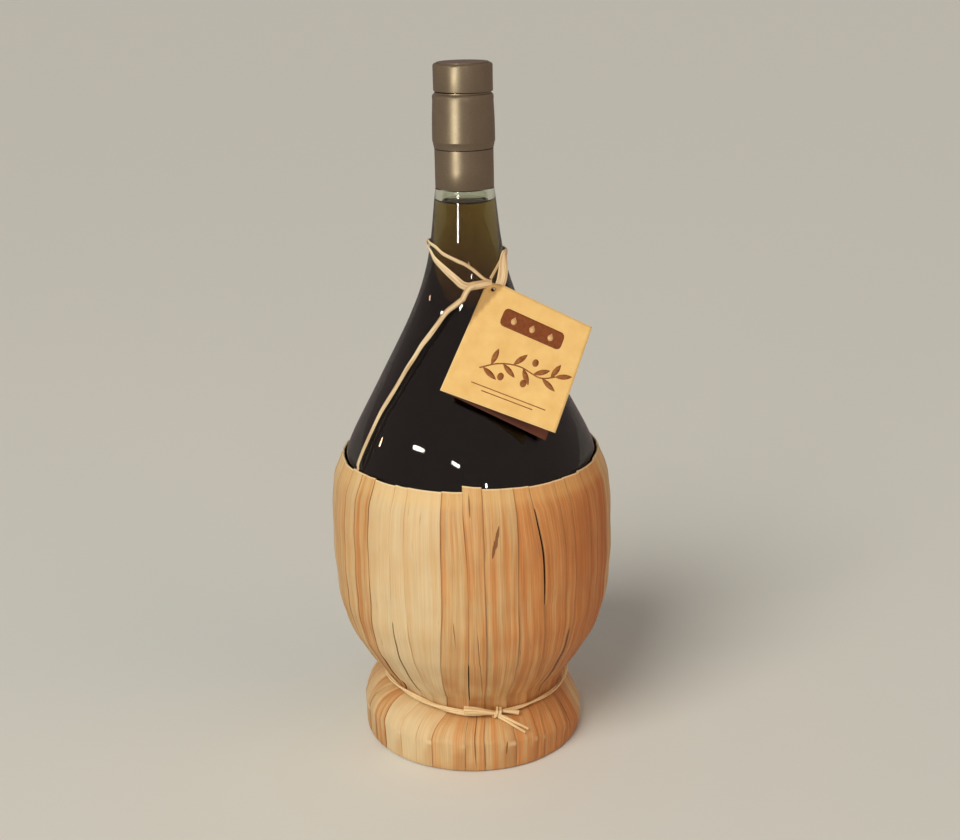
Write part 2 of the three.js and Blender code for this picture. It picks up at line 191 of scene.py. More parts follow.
# Points of a smooth open curve through the given ones
def curveThrough(points, count):
    last = len(points) - 1
    out = []
    for i in range(count + 1):
        place = last * i / count
        k = min(int(place), last - 1)
        t = place - k
        p0, p1 = points[max(0, k - 1)], points[k]
        p2, p3 = points[k + 1], points[min(last, k + 2)]
        out.append(0.5 * ((2 * p1) + (p2 - p0) * t + (2 * p0 - 5 * p1 + 4 * p2 - p3) * t ** 2
                          + (3 * p1 - p0 - 3 * p2 + p3) * t ** 3))
    return out


# Sweep stations along a curve that lies on something round: flat side against the axis
def ribbonStations(points, halfWidth, halfThick, roll=lambda share: 0):
    stations = []
    last = len(points) - 1
    for i, point in enumerate(points):
        share = i / last
        tangent = (points[min(last, i + 1)] - points[max(0, i - 1)]).normalized()
        outward = Vector((point.x, point.y, 0)).normalized()
        outward = (outward - tangent * outward.dot(tangent)).normalized()
        across = tangent.cross(outward)
        turn = Matrix.Rotation(math.radians(roll(share)), 3, tangent)
        stations.append((point, turn @ across, turn @ outward,
                         halfWidth(share) * mm, halfThick(share) * mm))
    return stations


# A short strand through (radius, angle, height) points, from one width to another
def strand(bm, route, widths, thickness, steps=16, sides=8):
    points = curveThrough([at(*point) for point in route], steps)

    def halfWidth(share):
        return (widths[0] + (widths[1] - widths[0]) * share) / 2

    sweep(bm, ribbonStations(points, halfWidth, lambda share: thickness / 2), sides)


# Glass flask, in the shape of its node
glassSet = {
    "stations": [
        (11.7, 30.3), (19.6, 35.6), (29.3, 40.7), (39.1, 45.6), (52.8, 55.4), (70.4, 65.7),
        (93.9, 70.4), (117.4, 71.3), (138.9, 70), (152.6, 67.2), (166.3, 62.2), (183.9, 52.8),
        (203.4, 42.9), (223, 32.7), (242.5, 24.1), (258.2, 19.5), (275.8, 16.8), (294, 14.9),
    ],
    "baseHeight": 7.8,
    "baseRadius": 26.4,
    "baseFlat": 7,
    "punt": 1.5,
    "floor": 5.3,
    "wall": 3.3,
    "neckWall": 3.8,
    "neckWallFrom": 225,
    "neckTop": 294.9,
    "finishRadius": 13.5,
    "boreRadius": 9.4,
    "boreBottom": 319.9,
    "mouth": 352.5,
    "mouthRound": 1.5,
    "topRound": 0.5,
    "floorDome": 1,
    "rows": 90,
    "innerRows": 80,
    "around": 160,
    "evenOut": 11,
    "evenFrom": (100, 160),
    "evenSteps": 8,
    "flow": 0.03,
    "flowLobes": 3,
    "flowHeight": 60,
    "flowBand": 0.6,
    "flowFades": (20, 14),
}
glassProfile = smoothProfile(glassSet["stations"])
heelHeight, shoulderHeight = glassSet["stations"][0][0], glassSet["stations"][-1][0]
innerHeel = heelHeight + 2 * glassSet["wall"]
floorHeight = glassSet["baseHeight"] + glassSet["floor"]


# Evened out over a short stretch, so that reflections run smoothly down the flank
def glassRadius(height):
    reach = glassSet["evenOut"] * blendStep(*glassSet["evenFrom"], height)
    places = evenly(height - reach, height + reach, glassSet["evenSteps"])
    return sum(glassProfile(place) for place in places) / len(places)


def innerGlass(height):
    share = blendStep(glassSet["neckWallFrom"], glassSet["neckTop"], height)
    return glassRadius(height) - glassSet["wall"] - share * (glassSet["neckWall"] - glassSet["wall"])


# The inside of blown glass is uneven: upright flow lines that fade towards the heel and the mouth
def flowLine(point):
    height = point.z / mm
    radius = math.hypot(point.x, point.y)
    if not heelHeight < height < shoulderHeight:
        return point
    if abs(radius / mm - innerGlass(height)) > glassSet["flowBand"]:
        return point
    lobes = glassSet["flowLobes"]
    place = Vector((point.x / radius * lobes, point.y / radius * lobes, height / glassSet["flowHeight"]))
    lowFade, highFade = glassSet["flowFades"]
    fade = blendStep(heelHeight, heelHeight + lowFade, height)
    fade *= blendStep(shoulderHeight, shoulderHeight - highFade, height)
    grow = 1 + glassSet["flow"] * fade * noise.noise(place) * mm / radius
    return Vector((point.x * grow, point.y * grow, point.z))


# Raffia tail, the free cord: (angle, height) on the glass, from the knot to behind the basket rim
tailSet = {
    "route": [
        (-94, 243.9), (-102, 241.2), (-111.5, 237.6), (-119, 231.8), (-125, 226.4),
        (-130.5, 221.2), (-134, 215.6), (-137.5, 210.3), (-140, 205), (-142.6, 199),
        (-145.2, 193.2), (-147.4, 187.4), (-148.4, 180.1), (-149, 173.2), (-149.4, 167.6),
        (-149.7, 162),
    ],
    "tucked": [(-149.9, 159.5), (-150, 157)],
    "lift": 1.5,
    "tuckedLift": 0.6,
    "width": 2.4,
    "thickness": 1.0,
    "steps": 90,
    "rootWiden": 1.12,
    "taper": 0.2,
    "uneven": 0.12,
    "unevenPace": 9,
    "unevenRow": 0.3,
}


def makeTail(material):
    route = [at(glassRadius(z) + tailSet["lift"], angle, z) for angle, z in tailSet["route"]]
    route += [at(glassRadius(z) + tailSet["tuckedLift"], angle, z) for angle, z in tailSet["tucked"]]
    points = curveThrough(route, tailSet["steps"])

    def halfWidth(share):
        place = Vector((share * tailSet["unevenPace"], tailSet["unevenRow"], 0))
        uneven = tailSet["uneven"] * noise.noise(place)
        return tailSet["width"] / 2 * (tailSet["rootWiden"] - tailSet["taper"] * share + uneven)

    def halfThick(share):
        return tailSet["thickness"] / 2

    bm = bmesh.new()
    sweep(bm, ribbonStations(points, halfWidth, halfThick), sides=12)
    bmesh.ops.recalc_face_normals(bm, faces=bm.faces)
    tail = dress(asObject("tailRibbon", bm, sharpAngle=60), material, "raffia", "raffia_tail")
    return tail


def makeGlass(material):
    finish, mouth, lip = glassSet["finishRadius"], glassSet["mouth"], glassSet["mouthRound"]
    bore, corner, neckTop = glassSet["boreRadius"], glassSet["topRound"], glassSet["neckTop"]
    base, baseHeight = glassSet["baseRadius"], glassSet["baseHeight"]
    outline = [(0, baseHeight + glassSet["punt"]), (base - glassSet["baseFlat"], baseHeight),
               (base, baseHeight)]
    outline += [(glassRadius(z), z) for z in evenly(heelHeight, shoulderHeight, glassSet["rows"])]
    outline += arc((glassRadius(shoulderHeight) - corner, neckTop - corner), corner, 0, 90, 4)
    outline += [(finish, neckTop), (finish, mouth - lip), (finish - lip, mouth), (bore + lip, mouth),
                (bore, mouth - lip), (bore, glassSet["boreBottom"])]
    inside = evenly(innerHeel, shoulderHeight, glassSet["innerRows"])
    outline += [(innerGlass(z), z) for z in reversed(inside)]
    outline += [(base, floorHeight), (0, floorHeight + glassSet["floorDome"])]
    flask = turned("glassFlask", outline, steps=glassSet["around"], reshape=flowLine)
    return dress(flask, material, "flask_glass", "glass_flask")


# Oil: reaches just into the glass wall, with a meniscus that climbs the glass
oilSet = {
    "level": 287.8,
    "intoWall": 0.25,
    "meniscus": 1.1,
    "meniscusWidth": 2.2,
    "meniscusSteps": 8,
    "sharpAngle": 70,
}


def makeOil(material):
    level, climb, depth = oilSet["level"], oilSet["meniscus"], oilSet["intoWall"]
    floor = floorHeight - depth
    outline = [(0, floor + glassSet["floorDome"]), (glassSet["baseRadius"], floor)]
    inside = evenly(innerHeel, level + climb, glassSet["innerRows"])
    outline += [(innerGlass(z) + depth, z) for z in inside]
    edge = innerGlass(level)
    for share in evenly(0, 1, oilSet["meniscusSteps"])[1:]:
        outline.append((edge - oilSet["meniscusWidth"] * share, level + climb * (1 - share) ** 2))
    outline.append((0, level))
    oil = turned("oliveOil", outline, glassSet["around"], oilSet["sharpAngle"], reshape=flowLine)
    return dress(oil, material, "olive_oil", "oil")


# Waist and foot of the basket
basketSet = {
    "stations": [
        (29.3, 48.5), (35.2, 49.5), (41.1, 53.5), (54.8, 62.2), (72.4, 69.9), (93.9, 73.1),
        (117.4, 73.7), (140.8, 72.6), (153.5, 69.9), (160.4, 67.5),
    ],
    "waistRadius": 48.2,
    "waistHeight": 31.8,
    "waistTilt": 2.9,
    "waistDip": 3.3,
    "waistDipNarrow": 6,
    "waistTuck": 1.8,
    "creaseRadius": 61.1,
    "creaseHeight": 17.1,
    "rightCreaseLoss": (2.9, 9.8),
    "flare": (0.62, 0.3),
    "rightFlare": (0.2, 7),
    "rightNarrow": 6,
    "wallSlant": 0.7,
    "hemRadius": 53.3,
    "hemLift": 0.45,
    "hemRound": 0.9,
    "hemTurn": 1.2,
    "foldRound": 1.4,
    "squeeze": 8,
    "squeezeEase": 2.2,
    "bodyRows": 44,
    "squeezeRows": 9,
    "slopeRows": 14,
    "foldRows": 4,
    "wallRows": 7,
    "hemTurnRows": 3,
    "hemFlatRows": 2,
}
basketRadius = smoothProfile(basketSet["stations"])


def waistHeight(degrees):
    angle = math.radians(degrees)
    front = max(0, -math.sin(angle)) ** basketSet["waistDipNarrow"]
    return basketSet["waistHeight"] - basketSet["waistTilt"] * math.cos(angle) - basketSet["waistDip"] * front


def bent(start, control, end, steps):
    out = []
    for t in evenly(0, 1, steps):
        out.append(start * (1 - t) ** 2 + control * 2 * t * (1 - t) + end * t ** 2)
    return out


# Outer line of a strip in the plane of one angle: belly, waist, slope of the foot, wall and hem
def stripLine(degrees, rim):
    cord = waistHeight(degrees)
    right = ((1 + math.cos(math.radians(degrees))) / 2) ** basketSet["rightNarrow"]
    squeeze = cord + basketSet["squeeze"]
    line = [Vector((basketRadius(z), z)) for z in evenly(rim, squeeze, basketSet["bodyRows"])]
    waist = Vector((basketSet["waistRadius"], cord - basketSet["waistTuck"]))
    above = basketRadius(squeeze)
    for t in evenly(0, 1, basketSet["squeezeRows"])[1:]:
        radius = waist.x + (above - waist.x) * (1 - t) ** basketSet["squeezeEase"]
        line.append(Vector((radius, squeeze + (waist.y - squeeze) * t)))
    radiusLoss, heightLoss = basketSet["rightCreaseLoss"]
    fold = Vector((basketSet["creaseRadius"] - radiusLoss * right,
                   basketSet["creaseHeight"] - heightLoss * right))
    (reach, drop), (reachLoss, dropGain) = basketSet["flare"], basketSet["rightFlare"]
    reach = (reach - reachLoss * right) * (fold.x - waist.x)
    slope = bent(waist, waist + Vector((reach, -(drop + dropGain * right))), fold, basketSet["slopeRows"])
    line += slope[1:-1]
    wallEnd = Vector((fold.x - basketSet["wallSlant"], basketSet["hemLift"]))
    down = (wallEnd - fold).normalized()
    line += bent(slope[-2], fold, fold + down * basketSet["foldRound"], basketSet["foldRows"])[1:]
    low = wallEnd - down * basketSet["hemRound"]
    line += [line[-1].lerp(low, t) for t in evenly(0, 1, basketSet["wallRows"])[1:]]
    turnEnd = wallEnd - Vector((basketSet["hemTurn"], 0))
    line += bent(low, wallEnd, turnEnd, basketSet["hemTurnRows"])[1:]
    hem = Vector((basketSet["hemRadius"], basketSet["hemLift"]))
    line += [line[-1].lerp(hem, t) for t in evenly(0, 1, basketSet["hemFlatRows"])[1:]]
    return line


# Reed strips: each takes its angles and its rim from its own node. Strip 0 is the leftmost seen from
# the front, and boundary 0 is its left edge. Openings are (boundary, from height, to height, width).
# Stains are (strip, share across and height of the top, the same of the foot, width).
reedSet = {
    "count": 35,
    "columns": 14,
    "thickness": 0.8,
    "overlap": 0.6,
    "wander": 0.3,
    "slowWander": (7.31, 2.6, 0.5),
    "quickWander": (3.17, 9, 4.5),
    "wanderShares": (2.2, 0.6),
    "wanderAtRim": 0.5,
    "crown": 0.16,
    "ripple": 0.3,
    "rippleScales": (9.1, 1.6, 7),
    "edgeRound": 0.2,
    "slant": 0.7,
    "tallStrips": {7: -0.8, 8: -0.5},
    "tallRise": 0.5,
    "rimRoll": 1.3,
    "rimRollRows": 5,
    "rimDrift": {7: -1.7, 10: -3.6, 11: -2.2, 12: -1.6, 13: -1.2, 14: -1},
    "rimDriftTo": 0.3,
    "hemRows": 6,
    "hemStand": 0.3,
    "seed": 5,
    # Tones of the front strips from left to right: partly their own tone, partly painted shade that darkens
    # and warms them away from the key light
    "tones": [0.30, 0.22, 0.46, 0.06, 0.04, 0.10, 0.36, 0.40, 0.42, 0.56, 0.62, 0.60, 0.70, 0.78, 0.88],
    "leftTones": {31: 0.2, 32: 0.12, 33: 0.22, 34: 0.14},
    "otherTones": (0.15, 0.6),
    "grainSeeds": 40,
    "steps": {0: 0.3, 1: 0.35, 2: 0.45, 3: 0.4, 4: 0.12, 5: 0.14, 6: 0.6, 7: 0.3, 8: 0.6, 9: 0.55,
              10: 0.75, 11: 0.3, 12: 0.25, 13: 0.6, 14: 0.4, 15: 0.35},
    "otherSteps": (0.15, 0.6),
    "drift": {1: (0, -10), 2: (-2, -9), 3: (-5, -8.7), 4: (-2.6, -7.3), 5: (-0.5, -4.3), 6: (-6.2, -10.8),
              7: (-2.3, -3.8), 8: (1.1, -0.9), 9: (2.5, 2.3), 10: (5, 3.3), 11: (1.5, -1.9)},
    "otherDrift": (3, 4),
    "driftFrom": 0.35,
    "openings": [(10, 150, 96, 0.9), (3, 59, 33, 0.8), (4, 88, 37, 0.2), (7, 66, 36, 0.15),
                 (19, 120, 60, 0.7), (24, 90, 40, 0.8), (29, 140, 95, 0.6)],
    "gapeEase": 0.6,
    "stains": [(7, 0.34, 158, 0.36, 147, 0.7), (8, 0.47, 143, 0.25, 125, 1.9), (7, 0.45, 97, 0.83, 38, 0.5),
               (6, 0.45, 91, 0.58, 76, 0.7), (11, 0.6, 78, 0.45, 32, 2.8), (8, 0.73, 17.5, 0.68, 10, 1.0),
               (7, 0.5, 28, 0.57, 2, 0.8), (13, 0.4, 26, 0.6, 6, 1.6), (22, 0.4, 120, 0.5, 90, 1.4),
               (27, 0.6, 80, 0.5, 45, 1.2), (31, 0.3, 140, 0.35, 118, 1.0)],
}


def stripAngles(name):
    points = [v.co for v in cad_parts[name].data.vertices]
    middle = sum(points, Vector()) / len(points)
    centre = math.degrees(math.atan2(middle.y, middle.x))
    turns = [(math.degrees(math.atan2(p.y, p.x)) - centre + 180) % 360 - 180 for p in points]
    return centre + min(turns), centre + max(turns), max(p.z for p in points) / mm


# Smooth noise down a boundary: scales are (for each boundary, for the whole length, layer)
def wandering(boundary, share, scales):
    perBoundary, perLength, layer = scales
    return noise.noise(Vector((boundary * perBoundary, share * perLength, layer)))


# How far a boundary between two strips strays from upright in one row, in degrees
def strayed(boundary, row, rows):
    share = row / rows
    slow = wandering(boundary, share, reedSet["slowWander"])
    quick = wandering(boundary, share, reedSet["quickWander"])
    waistRow = basketSet["bodyRows"] + basketSet["squeezeRows"]
    otherWaist, otherHem = reedSet["otherDrift"]
    waistDrift, hemDrift = reedSet["drift"].get(boundary, (slow * otherWaist, slow * otherHem))
    drift = waistDrift * blendStep(waistRow * reedSet["driftFrom"], waistRow, row)
    drift += (hemDrift - waistDrift) * blendStep(waistRow, waistRow + basketSet["slopeRows"], row)
    drift += reedSet["rimDrift"].get(boundary, 0) * blendStep(waistRow * reedSet["rimDriftTo"], 0, row)
    slowShare, quickShare = reedSet["wanderShares"]
    wander = reedSet["wander"] * (slowShare * slow + quickShare * quick)
    return drift + wander * (reedSet["wanderAtRim"] + share)


# How far a boundary gapes at a height, in millimetres
def gape(boundary, height):
    width = 0
    for which, top, foot, widest in reedSet["openings"]:
        if which == boundary and foot < height < top:
            width = widest * math.sin(math.pi * (height - foot) / (top - foot)) ** reedSet["gapeEase"]
    return width


# A strip's edges and rim, its middle line with the length down to each row, and its width
def measureStrip(index):
    start, end, rim = stripAngles(f"strip_{index + 1:02d}")
    if index in reedSet["tallStrips"]:
        rim += reedSet["tallRise"]
    line = stripLine(start + (end - start) / 2, rim)
    lengths = [0]
    for a, b in zip(line, line[1:]):
        lengths.append(lengths[-1] + (b - a).length)
    width = math.radians(end - start) * max(point.x for point in line)
    return {"start": start, "end": end, "rim": rim, "line": line, "lengths": lengths, "width": width}


# How far a place on a strip stands off its line: stepped edges, a crown across, ripples down it
def standOff(index, u, row, rows, steps):
    following = (index + 1) % reedSet["count"]
    stand = -steps[index] / 2 + (steps[index] + steps[following]) / 2 * u
    stand -= reedSet["crown"] * (2 * u - 1) ** 2
    perStrip, perWidth, perLength = reedSet["rippleScales"]
    place = Vector((index * perStrip + u * perWidth, row / rows * perLength, 0))
    stand += reedSet["ripple"] * noise.noise(place)
    stand -= reedSet["rimRoll"] * blendStep(reedSet["rimRollRows"], 0, row)
    return stand * reedSet["hemStand"] if row > rows - reedSet["hemRows"] else stand


# The strip's sheet as a grid of columns and rows, with its distances and its own UV map
def stripSheet(index, strip, slant, steps):
    start, end, lengths = strip["start"], strip["end"], strip["lengths"]
    columns, rows = reedSet["columns"], len(strip["line"]) - 1
    following = (index + 1) % reedSet["count"]
    lines = []
    for u in evenly(0, 1, columns):
        lines.append(stripLine(start + (end - start) * u, strip["rim"] + slant * (u - 0.5)))
    foldRow = max(range(rows // 2, rows), key=lambda row: strip["line"][row].x)
    bm = bmesh.new()
    uv = bm.loops.layers.uv.new("reed")
    edgeDistance = bm.verts.layers.float.new("edgeDistance")
    foldDistance = bm.verts.layers.float.new("foldDistance")
    bmesh.ops.create_grid(bm, x_segments=columns, y_segments=rows, size=1)
    cells = {}
    for vert in bm.verts:
        column = round((vert.co.x + 1) / 2 * columns)
        row = round((1 - vert.co.y) / 2 * rows)
        u = column / columns
        own = lines[column][row]
        wide = gape(index, own.y)
        tuck = math.degrees(wide / own.x) if wide else -reedSet["overlap"]
        low = start + tuck + strayed(index, row, rows)
        high = end + strayed(following, row, rows)
        vert[edgeDistance] = min(u, 1 - u) * strip["width"]
        vert[foldDistance] = abs(lengths[row] - lengths[foldRow])
        cells[vert.index] = (u * strip["width"], lengths[row])
        vert.co = at(own.x + standOff(index, u, row, rows, steps), low + (high - low) * u, own.y)
    for face in bm.faces:
        for loop in face.loops:
            loop[uv].uv = [distance * uvPerMm for distance in cells[loop.vert.index]]
    bmesh.ops.recalc_face_normals(bm, faces=bm.faces)
    outward = sum(f.normal.dot(Vector((*f.calc_center_median().xy, 0))) for f in bm.faces)
    if outward < 0:
        bmesh.ops.reverse_faces(bm, faces=bm.faces)
    return bm


def makeStrip(index, material, draw, steps):
    slant = reedSet["tallStrips"].get(index)
    if slant is None:
        slant = reedSet["slant"] * (draw.random() - 0.5)
    sheet = stripSheet(index, measureStrip(index), slant, steps)
    piece = asObject(f"reedStrip{index + 1:02d}", sheet, sharpAngle=180)
    tones, (least, spread) = reedSet["tones"], reedSet["otherTones"]
    tone = tones[index] if index < len(tones) else least + spread * draw.random()
    tone = reedSet["leftTones"].get(index, tone)
    values = {"tone": tone, "grainSeed": draw.random() * reedSet["grainSeeds"], "stripNumber": index}
    for label, value in values.items():
        attribute = piece.data.attributes.new(label, "FLOAT", "POINT")
        attribute.data.foreach_set("value", [value] * len(piece.data.vertices))
    wall = piece.modifiers.new("thickness", "SOLIDIFY")
    wall.thickness = reedSet["thickness"] * mm
    wall.offset = -1
    edge = piece.modifiers.new("softEdge", "BEVEL")
    edge.width = reedSet["edgeRound"] * mm
    edge.segments = 2
    edge.limit_method = "ANGLE"
    return dress(piece, material, "reed_strip", f"strip_{index + 1:02d}")


def makeBasket(material):
    draw = random.Random(reedSet["seed"])
    steps = []
    for i in range(reedSet["count"]):
        steps.append(reedSet["steps"].get(i, draw.uniform(*reedSet["otherSteps"])))
    for i in range(reedSet["count"]):
        makeStrip(i, material, draw, steps)


# Waist cord: two flat fibre strands laid round each other, widest left of the knot, with its ends.
# Widths are (angle, width). A wrap is (angle, half height), and its shape is a list of (outwards,
# angle, share of the half height, millimetres up).
waistCordSet = {
    "pathRadius": 50.0,
    "strandOffset": 0.5,
    "widths": [(-90, 1.1), (-60, 1.2), (-30, 2.0), (0, 2.3), (13, 1.6), (40, 1.1), (130, 1.2), (270, 1.1)],
    "halfThick": 0.6,
    "turns": 6,
    "steps": 240,
    "shortEnd": [(51.6, -77, 28.4), (52.6, -84, 30.6), (53.4, -90, 32.2), (53.8, -96.5, 32.6)],
    "shortWidths": (2.4, 5.0),
    "longEnd": [(52, -77, 28), (54.4, -72.5, 26.4), (57.4, -67.6, 23.8), (60, -63, 21)],
    "secondEnd": [(52, -77, 27), (54.6, -73.2, 25.2), (57.6, -69, 22.6), (60.2, -65, 19.6)],
    "endWidths": (1.9, 1.4),
    "thicknesses": {"shortEnd": 0.7, "longEnd": 0.9, "secondEnd": 0.9, "flap": 0.6, "wraps": 1.1},
    "flap": [(50.6, -75, 29), (52, -70, 28.6), (53.4, -65, 27.6)],
    "flapWidths": (1.4, 2.8),
    "wraps": [(-78.2, 2.6), (-76.2, 2.2)],
    "wrapShape": [(-0.6, -1.4, -1, 0), (2.1, -0.6, -0.5, 0), (2.4, 0, 0, 0.2), (2.1, 0.7, 0.6, 0),
                  (-0.6, 1.5, 1, 0)],
    "wrapWidths": (1.9, 1.7),
    "wrapSteps": 20,
}


def makeWaistCord(material):
    bm = bmesh.new()
    path = waistCordSet["pathRadius"]
    offset = waistCordSet["strandOffset"]
    widthAt = smoothProfile(waistCordSet["widths"])
    for lay in (0, 180):
        points = []
        for degrees in evenly(0, 360, waistCordSet["steps"]):
            phase = math.radians(lay + degrees * waistCordSet["turns"])
            height = waistHeight(degrees - 90) + offset * math.sin(phase)
            points.append(at(path + offset * math.cos(phase), degrees - 90, height))

        def halfWidth(share):
            return widthAt((share * 360 + 90) % 360 - 90) / 2

        sweep(bm, ribbonStations(points, halfWidth, lambda share: waistCordSet["halfThick"]), sides=8)
    thick = waistCordSet["thicknesses"]
    strand(bm, waistCordSet["shortEnd"], waistCordSet["shortWidths"], thick["shortEnd"])
    strand(bm, waistCordSet["longEnd"], waistCordSet["endWidths"], thick["longEnd"])
    strand(bm, waistCordSet["secondEnd"], waistCordSet["endWidths"], thick["secondEnd"])
    strand(bm, waistCordSet["flap"], waistCordSet["flapWidths"], thick["flap"])
    for angle, height in waistCordSet["wraps"]:
        middle = waistHeight(angle)
        route = []
        for out, turn, share, up in waistCordSet["wrapShape"]:
            route.append((path + out, angle + turn, middle + height * share + up))
        strand(bm, route, waistCordSet["wrapWidths"], thick["wraps"], waistCordSet["wrapSteps"])
    bmesh.ops.recalc_face_normals(bm, faces=bm.faces)
    return dress(asObject("waistCord", bm, sharpAngle=60), material, "cord_fibre", "waist_cord")


# Raffia tie round the neck: a wide lower turn and a thin upper one, from behind the card right round
# to it again. Routes are (angle, height) on the glass; the other lists are (share of the way, value).
tieSet = {
    "back": [(-205, 267), (-250, 264.5), (-300, 261)],
    "lowerStart": [(-58, 250.2), (-70.6, 250.3), (-81.8, 249.9), (-92.5, 250), (-103.7, 253.1),
                   (-121.3, 257.7), (-140.1, 261.6), (-157.5, 265.3)],
    "lowerEnd": [(-340, 261.6), (-380, 262.6), (-389, 261.4), (-396, 257.3), (-402.4, 253),
                 (-410.4, 248.7), (-416, 246.6)],
    "upperStart": [(-57, 251.0), (-65.6, 252.3), (-72.9, 254.7), (-86.3, 258.8), (-100.4, 261.3),
                   (-123.7, 264.4), (-154.2, 268)],
    "upperEnd": [(-340, 262.5), (-380, 262.4), (-390.6, 260.4), (-405.1, 256.7), (-417.6, 252.4)],
    "lowerWidths": [(0, 3.6), (0.06, 4.2), (0.12, 3.8), (0.21, 3.4), (0.28, 2.4), (0.55, 2.2), (0.82, 2.6),
                    (0.92, 3.8), (0.96, 4.9), (1, 4.4)],
    "lowerLifts": [(0, 1.6), (0.3, 1.5), (0.8, 1.5), (0.92, 2.4), (0.96, 3.2), (1, 3)],
    "lowerRoll": [(0, 0), (0.86, 0), (0.94, 48), (1, 35)],
    "upperWidth": 1.8,
    "upperLift": 1.1,
    "thickness": 0.9,
    "tailRoot": [(-80, 250), (-86, 249.2), (-91, 246.8), (-94.8, 243.4)],
    "rootLift": 2.0,
    "rootWidths": (3.0, 2.7),
    "rootThickness": 1.0,
    "burr": [(-86.5, 258.8), (-86, 260.2), (-87, 261.6)],
    "burrRise": 0.5,
    "burrWidths": (0.7, 0.2),
    "burrThickness": 0.3,
    "uneven": 0.18,
    "unevenPace": 21,
    "unevenLayer": 7,
}


def wrapped(route, lift, count=180):
    height = smoothProfile(list(reversed(route)))
    out = []
    for i, angle in enumerate(evenly(route[0][0], route[-1][0], count)):
        out.append(at(glassRadius(height(angle)) + lift(i / count), angle, height(angle)))
    return out


def makeTie(material):
    bm = bmesh.new()
    lower = tieSet["lowerStart"] + tieSet["back"] + tieSet["lowerEnd"]
    upper = tieSet["upperStart"] + tieSet["back"] + tieSet["upperEnd"]
    thick = tieSet["thickness"] / 2
    lowerWidth = smoothProfile(tieSet["lowerWidths"])
    lowerLift = smoothProfile(tieSet["lowerLifts"])
    lowerRoll = smoothProfile(tieSet["lowerRoll"])

    def upperWidth(share):
        place = Vector((share * tieSet["unevenPace"], 0, tieSet["unevenLayer"]))
        return tieSet["upperWidth"] / 2 * (1 + tieSet["uneven"] * noise.noise(place))

    sweep(bm, ribbonStations(wrapped(lower, lowerLift), lambda share: lowerWidth(share) / 2,
                             lambda share: thick, lowerRoll), sides=12)
    sweep(bm, ribbonStations(wrapped(upper, lambda share: tieSet["upperLift"]), upperWidth,
                             lambda share: thick))
    root = [(glassRadius(z) + tieSet["rootLift"], angle, z) for angle, z in tieSet["tailRoot"]]
    strand(bm, root, tieSet["rootWidths"], tieSet["rootThickness"], sides=12)
    burr = []
    for i, (angle, z) in enumerate(tieSet["burr"]):
        burr.append((glassRadius(z) + tieSet["upperLift"] + i * tieSet["burrRise"], angle, z))
    strand(bm, burr, tieSet["burrWidths"], tieSet["burrThickness"], steps=6)
    bmesh.ops.recalc_face_normals(bm, faces=bm.faces)
    tie = dress(asObject("neckTie", bm, sharpAngle=60), material, "raffia", "neck_tie")
    tie.visible_transmission = False
    return tie


# Screw cap: top with a slightly raised plate, barrel and sleeve. The top sits a little askew.
capSet = {
    "outer": 14.55,
    "wall": 0.7,
    "top": 354.8,
    "edge": 1.4,
    "plateRadius": 12.7,
    "plateRise": 0.45,
    "plateGroove": 0.35,
    "roof": 2.0,
    "groove": 341.1,
    "barrel": 15.45,
    "sleeveTop": 313.9,
    "sleeveBottom": 294.9,
    "gap": 0.4,
    "sleeveGap": 0.06,
    "crownRound": 0.3,
    "edgeSweep": 75,
    "plateRound": 0.2,
    "plateDish": 0.1,
    "dishShare": 0.6,
    "footFlare": 0.1,
    "footRound": (1.2, 3.6, -35),
    "belly": [(8, 0), (14, 0.1)],
    "neck": (4.2, 0.5),
    "shoulderRound": (2.0, 0.4),
    "shoulderSweep": (10, 80),
    "mouthInset": 1.0,
    "sleeveHem": (0.15, 0.2),
    "sleeveBand": 9,
    "topTilt": 0.9,
    "topShift": 0.2,
    "tiltAbove": 4,
    "sharpAngle": 50,
}


def arc(centre, radius, start, end, steps):
    points = []
    for degrees in evenly(start, end, steps):
        angle = math.radians(degrees)
        points.append((centre[0] + radius * math.cos(angle), centre[1] + radius * math.sin(angle)))
    return points


def askew(point):
    lean = math.tan(math.radians(capSet["topTilt"]))
    above = blendStep(capSet["top"], capSet["groove"] + capSet["tiltAbove"], point.z / mm)
    return Vector((point.x + capSet["topShift"] * mm, point.y, point.z - point.x * lean * above))


def makeCapTop(material):
    outer, inner = capSet["outer"], capSet["outer"] - capSet["wall"]
    top, edge, low = capSet["top"], capSet["edge"], capSet["groove"] + capSet["gap"]
    plate, plateTop = capSet["plateRadius"], capSet["top"] + capSet["plateRise"]
    soft, plateSoft, dish = capSet["crownRound"], capSet["plateRound"], capSet["plateDish"]
    ledge = top - capSet["plateGroove"]
    outline = [(0, top - capSet["roof"]), (inner, top - capSet["roof"]), (inner, low)]
    outline += arc((outer - soft, low + soft), soft, -90, 0, 3)
    outline += arc((outer - edge, top - edge), edge, 0, capSet["edgeSweep"], 8)
    outline += [(plate + dish, ledge), (plate, ledge)]
    outline += arc((plate - plateSoft, plateTop - plateSoft), plateSoft, 0, 90, 3)
    outline += [(plate * capSet["dishShare"], plateTop - dish), (0, plateTop - dish)]
    piece = turned("capTop", outline, sharpAngle=capSet["sharpAngle"], reshape=askew)
    return dress(piece, material, "cap_bronze", "cap_top")


